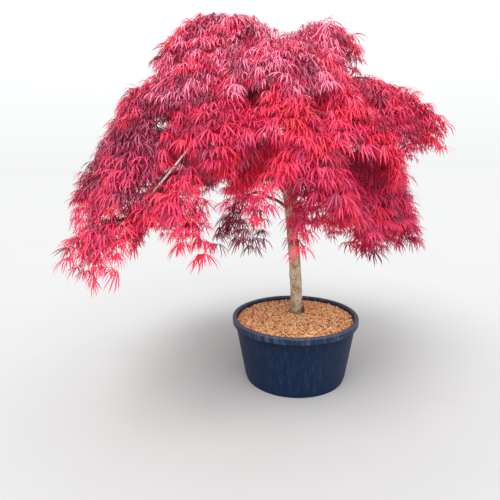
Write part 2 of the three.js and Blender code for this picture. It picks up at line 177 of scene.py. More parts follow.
class Nodes:
    """A node tree under construction."""

    def __init__(self, tree: bpy.types.NodeTree) -> None:
        """Takes the tree that the nodes go into."""
        self.tree = tree

    def add(
        self,
        kind: str,
        settings: dict[str, object] | None = None,
        inputs: dict[str | int, object] | None = None,
    ) -> bpy.types.Node:
        """Adds a node.

        Args:
            kind: The node's type.
            settings: The node's own options, which are set first.
            inputs: A value or a Wire for each named or numbered socket.

        Returns:
            The node.
        """
        node = self.tree.nodes.new(kind)
        for option, value in (settings or {}).items():
            setattr(node, option, value)
        for key, value in (inputs or {}).items():
            self.feed(node.inputs[key], value)
        return node

    def made(
        self,
        kind: str,
        settings: dict[str, object] | None = None,
        inputs: dict[str | int, object] | None = None,
        output: str | int = 0,
    ) -> Wire:
        """Adds a node, as add does, and gives one of its outputs."""
        return Wire(self, self.add(kind, settings, inputs).outputs[output])

    def feed(self, socket: bpy.types.NodeSocket, value: object) -> None:
        """Links a Wire to a socket, or sets the socket's own value.

        Args:
            socket: The socket.
            value: A Wire, a number, a colour or a vector.
        """
        if isinstance(value, Wire):
            self.tree.links.new(value.socket, socket)
        elif isinstance(value, tuple) and len(value) == 3 and socket.type == "RGBA":
            socket.default_value = (*value, 1.0)
        else:
            socket.default_value = value

    def axes(self, space: str = "Object") -> tuple[Wire, ...]:
        """Reads the place on the surface.

        Args:
            space: The Texture Coordinate node's output.

        Returns:
            The three coordinates, as numbers.
        """
        where = self.made("ShaderNodeTexCoord", output=space)
        split = self.add("ShaderNodeSeparateXYZ", inputs={0: where})
        return tuple(Wire(self, output) for output in split.outputs)

    def mix(self, share: Wire, low: Wire | Colour, high: Wire | Colour) -> Wire:
        """A colour between two, which are the node's sockets 6 and 7, by a share from 0 to 1."""
        inputs = {0: share, 6: low, 7: high}
        return self.made("ShaderNodeMix", {"data_type": "RGBA"}, inputs, output=2)


class Surface(Nodes):
    """A material under construction, with one Principled shader."""

    def __init__(self, name: str) -> None:
        """Starts the material.

        Args:
            name: The material's name.
        """
        self.material = bpy.data.materials.new(name)
        self.material.use_nodes = True
        super().__init__(self.material.node_tree)
        self.tree.nodes.clear()
        self.shader = self.add("ShaderNodeBsdfPrincipled")
        self.add("ShaderNodeOutputMaterial", inputs={"Surface": Wire(self, self.shader.outputs[0])})

    def place(self, upright: float = 1.0) -> Wire:
        """Object coordinates, stretched by a scale on the upright axis."""
        where = self.made("ShaderNodeTexCoord", output="Object")
        return self.made("ShaderNodeMapping", inputs={"Vector": where, "Scale": (1, 1, upright)})

    def cells(self, scale: float) -> Wire:
        """The distance to the nearest of some scattered points."""
        return self.made("ShaderNodeTexVoronoi", inputs={"Vector": self.place(), "Scale": scale})

    def bump(self, height: Wire, depth: float, strength: float = 1.0) -> Wire:
        """A relief that is depth metres deep where height runs from 0 to 1."""
        inputs = {"Height": height, "Distance": depth, "Strength": strength}
        return self.made("ShaderNodeBump", inputs=inputs)

    def finish(self, **sockets: object) -> bpy.types.Material:
        """Sets the shader's sockets and gives the material.

        Args:
            sockets: A value or a Wire for each socket, named with _ for a space.

        Returns:
            The material.
        """
        for name, value in sockets.items():
            self.feed(self.shader.inputs[name.replace("_", " ")], value)
        return self.material


class Cloud(NamedTuple):
    """A cloudy pattern, with the step of it that shows and how strongly that shows."""

    scale: float
    upright: float = 1.0
    detail: float = 3
    low: float = 0.0
    high: float = 1.0
    share: float = 1.0
    roughness: float = 0.55

    def on(self, surface: Surface) -> Wire:
        """The whole pattern on a surface, from about 0.3 to 0.7."""
        inputs = {"Scale": self.scale, "Detail": self.detail, "Roughness": self.roughness}
        return surface.made("ShaderNodeTexNoise", inputs={"Vector": surface.place(self.upright), **inputs})

    def shown(self, pattern: Wire) -> Wire:
        """The step of the pattern that shows."""
        return pattern.between(self.low, self.high) * self.share


@dataclass(frozen=True)
class BarkFinish:
    """Smooth bark with pale plates, dark flecks that lie across the limb, lichen, and a stained foot.

    stain_top and stain_fade are the stained foot's top and soft edge, and stain_least is how much of
    the stain shows between its patches. hollow is the middle of a dark old wound, hollow_reach how
    far it spreads, and relief how strongly plates, fibres and flecks stand out or lie deep.
    """

    name: str
    pale: Colour
    middle: Colour
    dark: Colour
    stain: Colour
    stain_top: float = 0.0
    stain_fade: float = 0.09
    stain_share: float = 0.8
    stain_least: float = 0.5
    stain_patches: Span = (0.4, 0.6)
    ragged: float = 0.05
    clouds: Cloud = Cloud(26, 0.6, 4, 0.36, 0.62)
    plates: Cloud = Cloud(70, 2.4, 3, 0.54, 0.66, 0.55)
    flecks: Cloud = Cloud(52, 2.4, 3, 0.55, 0.62, 0.85)
    fibres: Cloud = Cloud(420, 0.35)
    lichen: Colour = linear(206, 206, 168)
    lichen_spots: Cloud | None = None
    wound: Colour = linear(66, 42, 26)
    wound_edge: Span = (0.9, 1.9)
    wound_share: float = 0.92
    hollow: tuple[float, float, float] | None = None
    hollow_reach: float = 0.03
    relief: tuple[float, float, float] = (0.5, 0.3, -0.5)
    pits: Span = (0.55, 0.68)
    depth: float = 0.0022
    roughness: Span = (0.72, 0.2)

    def make(self) -> bpy.types.Material:
        """Makes the material.

        Returns:
            The material.
        """
        s = Surface(self.name)
        clouds, plates, flecks, fibres = (
            cloud.on(s) for cloud in (self.clouds, self.plates, self.flecks, self.fibres)
        )
        colour = s.mix(self.clouds.shown(clouds), self.middle, self.pale)
        colour = s.mix(self.plates.shown(plates), colour, self.stain)
        colour = s.mix(self.flecks.shown(flecks), colour, self.dark)
        height = s.axes()[2] + self.ragged * clouds
        damp = 1 - height.between(self.stain_top - self.stain_fade, self.stain_top)
        patches = plates.between(*self.stain_patches)
        damp = damp * (self.stain_least + (1 - self.stain_least) * patches)
        colour = s.mix(damp * self.stain_share, colour, self.stain)
        if self.lichen_spots:
            colour = s.mix(self.lichen_spots.shown(self.lichen_spots.on(s)), colour, self.lichen)
        if self.hollow:
            x, y, z = ((axis - at) / self.hollow_reach for axis, at in zip(s.axes(), self.hollow))
            gap = x * x + y * y + z * z + clouds
            colour = s.mix((1 - gap.between(*self.wound_edge)) * self.wound_share, colour, self.wound)
        plate, fibre, pit = self.relief
        relief = plate * plates + fibre * fibres + pit * flecks.between(*self.pits)
        least, more = self.roughness
        return s.finish(
            Base_Color=colour, Roughness=least + more * clouds, Normal=s.bump(relief, self.depth)
        )


@dataclass(frozen=True)
class LeafFinish:
    """A thin autumn leaf of one plain tint, a little satiny, with fine veins.

    glow is a faint light of its own, for the light that comes through a thin leaf.
    """

    name: str
    tint: Colour
    veins: Cloud = Cloud(380, detail=2)
    depth: float = 0.0006
    strength: float = 0.6
    roughness: float = 0.5
    shine: float = 0.42
    glow: float = 0.08

    def make(self) -> bpy.types.Material:
        """Makes the material.

        Returns:
            The material.
        """
        s = Surface(self.name)
        return s.finish(
            Base_Color=self.tint,
            Roughness=self.roughness,
            Specular_IOR_Level=self.shine,
            Emission_Color=self.tint,
            Emission_Strength=self.glow,
            Normal=s.bump(self.veins.on(s), self.depth, self.strength),
        )


@dataclass(frozen=True)
class PlasticFinish:
    """Blue-black moulded plastic with fine upright ribs, scuffs, a film of dust, and painted light and shade.

    The spans are heights over which the ribs end, the band under the rim and the rim's lip begin,
    and the painted shadow under the band deepens. The other shares say how dusty each place is; the
    band's film is real dust with a painted sheen, and the lip's film is a painted highlight.
    """

    name: str
    colour: Colour
    dust_and_sheen: Colour
    shadow: Colour
    ribs: int = 240
    ribs_end: Span = (0.436, 0.446)
    band_foot: Span = (0.4475, 0.449)
    lip_foot: Span = (0.484, 0.497)
    shade: Span = (0.37, 0.44)
    shade_share: float = 0.6
    wall_scuffs: float = 0.08
    band_scuffs: float = 0.42
    band_dust_and_sheen: float = 0.08
    lip_highlight: float = 0.45
    scuffs: Cloud = Cloud(34, 0.3, 5, 0.46, 0.68, roughness=0.7)
    streaks: Cloud = Cloud(60, 0.06, 3, 0.54, 0.72, 0.14)
    specks: Cloud = Cloud(900, detail=2)
    relief: tuple[float, float, float] = (0.3, 0.9, 0.4)
    depth: float = 0.0008
    roughness: Span = (0.34, 0.3)
    shine: float = 0.16

    def make(self) -> bpy.types.Material:
        """Makes the material.

        Returns:
            The material.
        """
        s = Surface(self.name)
        x, y, z = s.axes()
        ribs = (y.angle_to(x) * self.ribs).sine() * (1 - z.between(*self.ribs_end))
        scuffs, streaks, specks = (cloud.on(s) for cloud in (self.scuffs, self.streaks, self.specks))
        band = z.between(*self.band_foot)
        dust_and_sheen_share = self.scuffs.shown(scuffs) * (self.wall_scuffs + self.band_scuffs * band)
        # painted highlight along the top of the rim's lip, and a painted sheen mixed with real dust on the
        # band, both in the dust colour
        dust_and_sheen_share = dust_and_sheen_share + band * self.band_dust_and_sheen + z.between(*self.lip_foot) * self.lip_highlight
        dust_and_sheen_share = dust_and_sheen_share + (1 - band) * self.streaks.shown(streaks)
        # painted shadow: the wall darkens just under the band's overhang, towards the shadow colour
        shade = z.between(*self.shade) * (1 - band) * self.shade_share
        colour = s.mix(dust_and_sheen_share, s.mix(shade, self.colour, self.shadow), self.dust_and_sheen)
        speck, rib, streak = self.relief
        least, more = self.roughness
        relief = speck * specks + rib * ribs + streak * streaks
        return s.finish(
            Base_Color=colour,
            Roughness=least + more * scuffs,
            Specular_IOR_Level=self.shine,
            Normal=s.bump(relief, self.depth),
        )


@dataclass(frozen=True)
class EarthFinish:
    """Loose earth, bark crumbs or grit: crumbs of two shades with dark between them.

    patch is how many times wider than a crumb a patch of one shade is.
    """

    name: str
    light: Colour
    dark: Colour
    crumb: float
    depth: float
    patch: float = 1 / 0.6
    patches: Span = (0.35, 0.65)
    strength: float = 0.8
    roughness: Span = (0.82, 0.15)

    def make(self) -> bpy.types.Material:
        """Makes the material.

        Returns:
            The material.
        """
        s = Surface(self.name)
        shades = Cloud(1 / (self.crumb * self.patch), detail=2).on(s)
        least, more = self.roughness
        return s.finish(
            Base_Color=s.mix(shades.between(*self.patches), self.dark, self.light),
            Roughness=least + more * shades,
            Normal=s.bump(1 - s.cells(1 / self.crumb), self.depth, self.strength),
        )


@dataclass(frozen=True)
class FloorFinish:
    """A pale, fully matt studio floor."""

    name: str = "studio_floor"
    low: Colour = (0.455, 0.455, 0.45)
    high: Colour = (0.475, 0.475, 0.47)
    clouds: Cloud = Cloud(1.5, detail=2)
    roughness: float = 0.95

    def make(self) -> bpy.types.Material:
        """Makes the material.

        Returns:
            The material.
        """
        s = Surface(self.name)
        colour = s.mix(self.clouds.on(s), self.low, self.high)
        return s.finish(Base_Color=colour, Roughness=self.roughness, Specular_IOR_Level=0.0)


class Slot(Enum):
    """The record's material slots, one for each kind of new piece."""

    CONTAINER = "container"
    MULCH = "mulch"
    BARK = "bark"
    SCARLET = "leaves_scarlet"
    CRIMSON = "leaves_crimson"
    BURGUNDY = "leaves_burgundy"


# Meshes


def in_scene(name: str, data: bpy.types.ID) -> bpy.types.Object:
    """Puts a new object in the scene, at the origin.

    Args:
        name: Its name.
        data: Its mesh, lamp or camera.

    Returns:
        The object.
    """
    thing = bpy.data.objects.new(name, data)
    bpy.context.scene.collection.objects.link(thing)
    return thing


def published(
    mesh: bpy.types.Mesh, name: str, material: bpy.types.Material, slot: Slot, nodes: Iterable[str] = ()
) -> None:
    """Puts a finished mesh in the scene, riding on the one body.

    Args:
        mesh: The mesh, with its place in it.
        name: The piece's name.
        material: Its only material.
        slot: The record's slot for the piece. It is not used.
        nodes: The solids that it stands for.
    """
    mesh.name = name
    mesh.materials.append(material)
    piece = in_scene(name, mesh)
    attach(piece, BODY)
    if nodes:
        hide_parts(*nodes)
    log.info("%s: %d faces", name, len(mesh.polygons))


def mesh_of(form: bmesh.types.BMesh, sharp: float = 40) -> bpy.types.Mesh:
    """Turns a bmesh into a smooth mesh whose faces point outwards.

    Args:
        form: The bmesh, which is freed.
        sharp: The angle past which an edge stays sharp.

    Returns:
        The mesh.
    """
    bmesh.ops.remove_doubles(form, verts=form.verts, dist=MERGED)
    bmesh.ops.recalc_face_normals(form, faces=form.faces)
    mesh = bpy.data.meshes.new("form")
    form.to_mesh(mesh)
    form.free()
    shade_smooth(mesh)
    mesh.set_sharp_from_angle(angle=math.radians(sharp))
    return mesh


def shade_smooth(mesh: bpy.types.Mesh) -> None:
    """Shades all of a mesh's faces smooth."""
    mesh.polygons.foreach_set("use_smooth", [True] * len(mesh.polygons))


def mesh_from(points: Array, triangles: Array) -> bpy.types.Mesh:
    """Makes a mesh from arrays.

    Args:
        points: The points.
        triangles: The numbers of each triangle's three points.

    Returns:
        The mesh.
    """
    mesh = bpy.data.meshes.new("form")
    mesh.vertices.add(len(points))
    mesh.vertices.foreach_set("co", points.astype(np.float32).ravel())
    mesh.loops.add(triangles.size)
    mesh.loops.foreach_set("vertex_index", triangles.astype(np.int32).ravel())
    mesh.polygons.add(len(triangles))
    mesh.polygons.foreach_set("loop_start", np.arange(0, triangles.size, 3, dtype=np.int32))
    mesh.update(calc_edges=True)
    mesh.validate()
    return mesh


@dataclass
class Shape:
    """A small form as arrays, which is repeated many times."""

    points: Array
    triangles: Array

    @classmethod
    def of(cls, form: bmesh.types.BMesh) -> Shape:
        """The arrays of a bmesh, which is freed.

        Args:
            form: The bmesh.

        Returns:
            The shape.
        """
        bmesh.ops.triangulate(form, faces=form.faces)
        form.verts.index_update()
        points = np.array([v.co for v in form.verts])
        triangles = np.array([[v.index for v in face.verts] for face in form.faces])
        form.free()
        return cls(points, triangles)

    def copies(self, turns: Array, sizes: Array, places: Array) -> Array:
        """The points of its copies, one row a copy, for their turns, sizes and places."""
        return np.einsum("nij,vj->nvi", turns, self.points) * sizes[:, None, None] + places[:, None]


def joined(groups: Iterable[tuple[Array, Array]]) -> tuple[Array, Array]:
    """Joins copies of shapes.

    Args:
        groups: For each shape, the points of all its copies, one row a copy, and its triangles.

    Returns:
        All the points and all the triangles.
    """
    points, triangles, start = [], [], 0
    for copies, faces in groups:
        count, size = copies.shape[:2]
        points.append(copies.reshape(-1, 3))
        offsets = start + size * np.arange(count)
        triangles.append((faces[None] + offsets[:, None, None]).reshape(-1, 3))
        start += count * size
    return np.concatenate(points), np.concatenate(triangles)


def rounded(profile: Sequence[tuple[float, float, float]], steps: int = 5) -> list[Vector]:
    """A profile in the XZ plane with its corners rounded.

    Args:
        profile: Radius, height and corner radius of each point.
        steps: How many points each rounded corner gets.

    Returns:
        The points of the finer profile.
    """
    corners = [Vector((r, 0, z)) for r, z, _ in profile]
    points: list[Vector] = []
    for i, corner in enumerate(corners):
        size = profile[i][2]
        if size == 0 or i in (0, len(corners) - 1):
            points.append(corner)
            continue
        before = corner + (corners[i - 1] - corner).normalized() * size
        after = corner + (corners[i + 1] - corner).normalized() * size
        for k in range(steps):
            t = k / (steps - 1)
            points.append(before.lerp(corner, t).lerp(corner.lerp(after, t), t))
    return points


def lathe(profile: Sequence[Vector], steps: int) -> bmesh.types.BMesh:
    """Spins a profile in the XZ plane once round Z.

    Args:
        profile: The points of the profile.
        steps: How many faces go round.

    Returns:
        The form.
    """
    form = bmesh.new()
    verts = [form.verts.new(point) for point in profile]
    edges = [form.edges.new(pair) for pair in zip(verts, verts[1:])]
    round_z = {"cent": (0, 0, 0), "axis": (0, 0, 1), "angle": FULL_TURN}
    bmesh.ops.spin(form, geom=verts + edges, steps=steps, use_merge=True, **round_z)
    bmesh.ops.remove_doubles(form, verts=form.verts, dist=MERGED)
    return form


def tree_of(points: Sequence[Array]) -> kdtree.KDTree:
    """Makes a search tree of points.

    Args:
        points: The points.

    Returns:
        The tree, which knows each point by its number.
    """
    tree = kdtree.KDTree(len(points))
    for number, point in enumerate(points):
        tree.insert(point, number)
    tree.balance()
    return tree


# Lines of growth


class Line:
    """A smooth line in space, read by the share of its length."""

    STEPS = 200
    NEAR = 1e-4

    def __post_init__(self) -> None:
        """Works out the length along the line."""
        self._t = np.linspace(0, 1, self.STEPS + 1)
        steps = np.linalg.norm(np.diff(self.point(self._t), axis=0), axis=1)
        self._along = np.concatenate([[0.0], np.cumsum(steps)])

    def point(self, t: Array) -> Array:
        """The points at the values t of the line's own measure."""
        raise NotImplementedError

    @property
    def length(self) -> float:
        """The line's length."""
        return float(self._along[-1])

    def at(self, share: Array | float) -> Array:
        """The point at a share of the length, or the points at many.

        Args:
            share: The share or shares.

        Returns:
            The point or points.
        """
        t = np.interp(np.atleast_1d(share) * self.length, self._along, self._t)
        found = self.point(t)
        return found if np.ndim(share) else found[0]

    def way(self, share: float) -> Array:
        """The direction at a share of the length."""
        return unit(self.at(min(share + self.NEAR, 1.0)) - self.at(max(share - self.NEAR, 0.0)))

    def samples(self, spacing: float) -> Array:
        """Points along the line, evenly spaced."""
        return self.at(np.linspace(0, 1, max(2, math.ceil(self.length / spacing)) + 1))


@dataclass
class TrunkLine(Line):
    """A line through the trunk's points that bends evenly."""

    knots: Array

    def point(self, t: Array) -> Array:
        """The points at the values t of the line's own measure.

        Args:
            t: The values, from 0 to 1.

        Returns:
            The points.
        """
        k = self.knots
        ends = np.vstack([2 * k[0] - k[1], k, 2 * k[-1] - k[-2]])
        gaps = np.sqrt(np.linalg.norm(np.diff(ends, axis=0), axis=1))
        place = np.asarray(t) * (len(k) - 1)
        i = np.minimum(place.astype(int), len(k) - 2)
        w = (place - i)[:, None]
        p0, p1, p2, p3 = (ends[i + j] for j in range(4))
        d0, d1, d2 = (gaps[i + j][:, None] for j in range(3))
        m1 = ((p1 - p0) / d0 - (p2 - p0) / (d0 + d1) + (p2 - p1) / d1) * d1
        m2 = ((p2 - p1) / d1 - (p3 - p1) / (d1 + d2) + (p3 - p2) / d2) * d1
        bend = -3 * p1 + 3 * p2 - 2 * m1 - m2
        return p1 + m1 * w + bend * w**2 + (2 * p1 - 2 * p2 + m1 + m2) * w**3


@dataclass
class Arch(Line):
    """An arch that leaves and arrives in given directions, and may sway like an old limb."""

    start: Array
    start_way: Array
    end: Array
    end_way: Array
    handle: float
    sway: float = 0.0
    phase: float = 0.0

    SWAY_TURNS = 1.2
    RISE_SHARE = 0.6
    RISE_TURNS = 1.3

    @property
    def across(self) -> Array:
        """The level direction across the line."""
        ends = self.end - self.start
        return unit(np.array([-ends[1], ends[0], 0.0]))

    def point(self, t: Array) -> Array:
        """The points at the values t of the line's own measure.

        Args:
            t: The values, from 0 to 1.

        Returns:
            The points.
        """
        t = np.asarray(t)[:, None]
        found = bezier(self.start, self.start_way, self.end, self.end_way, self.handle, t)
        if self.sway:
            envelope = self.sway * np.sin(np.pi * t) ** 2
            turn = 2 * np.pi * self.SWAY_TURNS * t + self.phase
            rise = self.RISE_SHARE * envelope * np.cos(self.RISE_TURNS * turn)
            found = found + self.across * envelope * np.sin(turn) + UP * rise
        return found


def bezier(start: Array, start_way: Array, end: Array, end_way: Array, handle: float, t: Array) -> Array:
    """Points of a cubic arch between two ends, for one arch or for many at once.

    Args:
        start: Where it starts.
        start_way: The direction in which it leaves.
        end: Where it ends.
        end_way: The direction in which it arrives.
        handle: How far it keeps to those directions, as a share of the gap between the ends.
        t: The values, from 0 to 1.

    Returns:
        The points at those values.
    """
    reach = np.linalg.norm(end - start, axis=-1, keepdims=True) * handle
    a, b = start + start_way * reach, end - end_way * reach
    return start * (1 - t) ** 3 + 3 * a * t * (1 - t) ** 2 + 3 * b * t**2 * (1 - t) + end * t**3


def pitched(start: Array, end: Array, pitch: float) -> Array:
    """The direction that heads for a target in plan and is pitched above the horizontal.

    Args:
        start: Where it sets out.
        end: The target.
        pitch: The angle above the horizontal.

    Returns:
        The direction.
    """
    level = unit(np.array([end[0] - start[0], end[1] - start[1], 0.0]))
    angle = math.radians(pitch)
    return level * math.cos(angle) + UP * math.sin(angle)


def frames(points: Array) -> tuple[Array, Array]:
    """Two directions across lines at their points, without twist.

    Args:
        points: The points of many lines, as (line, point, 3).

    Returns:
        The two directions at each point.
    """
    along = unit(np.gradient(points, axis=1))
    side = np.zeros_like(along)
    side[:, 0] = unit(np.cross(along[:, 0], NEARLY_UP))
    for i in range(1, points.shape[1]):
        last = side[:, i - 1]
        drop = np.sum(last * along[:, i], axis=-1, keepdims=True)
        side[:, i] = unit(last - along[:, i] * drop)
    return side, np.cross(along, side)


def tubes(points: Array, radii: Array, sides: int) -> tuple[Array, Array]:
    """Closed tapering tubes along many lines.

    Args:
        points: The points of the lines, as (line, point, 3).
        radii: The radius at each point, as (line, point).
        sides: How many sides each tube has.

    Returns:
        The points of the tubes, one row a tube, and the triangles of one tube.
    """
    side, other = frames(points)
    turn = 2 * np.pi * np.arange(sides) / sides
    ring = side[:, :, None] * np.cos(turn)[:, None] + other[:, :, None] * np.sin(turn)[:, None]
    rings = points[:, :, None] + ring * radii[:, :, None, None]
    count, length = points.shape[:2]
    body = np.concatenate([rings.reshape(count, -1, 3), points[:, :1], points[:, -1:]], axis=1)
    faces = []
    foot, tip = length * sides, length * sides + 1
    for i in range(sides):
        j = (i + 1) % sides
        for k in range(length - 1):
            a, b, c, d = k * sides + i, k * sides + j, (k + 1) * sides + i, (k + 1) * sides + j
            faces += [(a, b, d), (a, d, c)]
        faces += [(foot, j, i), (tip, (length - 1) * sides + i, (length - 1) * sides + j)]
    return body, np.array(faces)


# The plant's layout, as in the solids


class Tone(Enum):
    """The run of tints that a mass of foliage takes, in the order of a tint's shares."""

    # The tones are partly painted light and shade: ROSE's pale pink is a painted sheen of sky light on the
    # crest on top, and BURGUNDY and SHADED are painted shade for the masses that lie in shade.
    SCARLET = 0
    ROSE = 1
    CRIMSON = 2
    BURGUNDY = 3
    SHADED = 4


@dataclass(frozen=True)
class Row:
    """A bough and the mass of foliage that it carries. Lengths are millimetres.

    start and tip are azimuth, distance from the crown's axis and height. spread is half of the
    mass's width, pitch is how steeply its stem sets out, and bare is how far foliage keeps from the
    bough where it shows. dense is how full the mass is.
    """

    name: str
    parent: str
    share: float
    leave: float
    start: tuple[float, float, float]
    tip: tuple[float, float, float]
    spread: float
    pitch: float
    root: float
    tone: Tone = Tone.CRIMSON
    handle: float = 0.36
    bare: float = 0.0
    dense: float = 1.0


CROWN = (
    Row("crest_left", "trunk", 1, 82, (184, 70, 2480), (191, 790, 2400), 300, 54, 26, Tone.ROSE),
    Row("crest_right", "crest_left", 0.5, 70, (345, 80, 2530), (334, 340, 2500), 220, 56, 15, Tone.ROSE),
    Row("crest_front", "crest_left", 0.62, 60, (232, 190, 2350), (252, 660, 2160), 270, 44, 14, Tone.ROSE),
    Row("crest_middle", "crest_left", 0.56, 64, (236, 100, 2400), (284, 560, 2130), 240, 42, 13, Tone.ROSE),
    Row("crest_front_left", "crest_left", 0.46, 62, (206, 300, 2290), (209, 880, 2110), 260, 40, 14,
        Tone.ROSE, dense=1.3),
    Row("crest_back", "crest_left", 0.7, 60, (90, 190, 2360), (88, 810, 2100), 340, 44, 13, Tone.ROSE),
    Row("upper_left", "crest_left", 0.22, 56, (188, 400, 2150), (194, 1100, 1990), 300, 38, 17, dense=1.4),
    Row("front_upper_left", "crest_left", 0.14, 62, (230, 380, 2000), (232, 960, 1830), 290, 34, 16),
    Row("front_upper", "crest_left", 0.3, 56, (258, 210, 1990), (260, 860, 1870), 280, 36, 14, Tone.SCARLET),
    Row("front_upper_right", "crest_left", 0.26, 60, (300, 200, 2000), (292, 820, 1800), 290, 36, 15,
        Tone.SCARLET),
    Row("upper_right", "trunk", 0.97, 66, (338, 270, 2110), (332, 760, 1950), 260, 40, 19),
    Row("arm_right", "upper_right", 0.5, 44, (8, 470, 2110), (358, 970, 1950), 250, 40, 12, Tone.SCARLET),
    Row("shoulder_right", "upper_right", 0.34, 60, (352, 360, 2190), (344, 700, 2070), 230, 44, 12),
    Row("back_left", "trunk", 0.98, 60, (140, 420, 2020), (142, 1150, 1760), 380, 36, 20, Tone.BURGUNDY),
    Row("back_right", "trunk", 0.9, 66, (48, 400, 2000), (46, 1040, 1720), 380, 36, 19, Tone.SCARLET),
    Row("flank_left", "trunk", 0.93, 60, (184, 680, 1850), (186, 1390, 1530), 290, 28, 20, Tone.BURGUNDY),
    Row("flank_front_left", "flank_left", 0.4, 34, (208, 660, 1840), (210, 1260, 1580), 280, 26, 14,
        Tone.BURGUNDY),
    Row("middle_left", "upper_left", 0.4, 20, (198, 520, 2010), (202, 1190, 1810), 280, 30, 14,
        Tone.BURGUNDY, dense=1.6),
    Row("lobe_left", "trunk", 1, 50, (219, 1250, 1380), (214, 1430, 1310), 250, -45, 8, handle=0.8, bare=60),
    Row("front_left", "trunk", 0.95, 60, (230, 560, 1700), (229, 1150, 1450), 290, 18, 17, Tone.SCARLET),
    Row("front_low", "trunk", 0.9, 58, (268, 300, 1760), (269, 990, 1610), 270, 20, 17, Tone.SCARLET),
    Row("front_right", "front_low", 0.3, 20, (279, 340, 1690), (281, 840, 1400), 290, 12, 13),
    Row("skirt_right", "trunk", 0.88, 50, (326, 440, 1720), (322, 770, 1340), 280, 14, 18),
    Row("low_right", "back_right", 0.3, 20, (2, 440, 1720), (2, 750, 1370), 280, 14, 13),
    Row("skirt_back_right", "back_right", 0.45, 2, (46, 540, 1620), (46, 1050, 1200), 300, 14, 13),
    Row("skirt_back", "back_left", 0.36, 34, (96, 460, 1850), (96, 1100, 1540), 310, 18, 13, Tone.BURGUNDY),
    Row("skirt_back_left", "back_left", 0.5, 4, (148, 740, 1600), (152, 1300, 1270), 320, 14, 13,
        Tone.BURGUNDY),
    Row("low_spray", "trunk", 0.84, 24, (226, 400, 1460), (229, 560, 1270), 110, -8, 12,
        Tone.SHADED, dense=0.4),
)


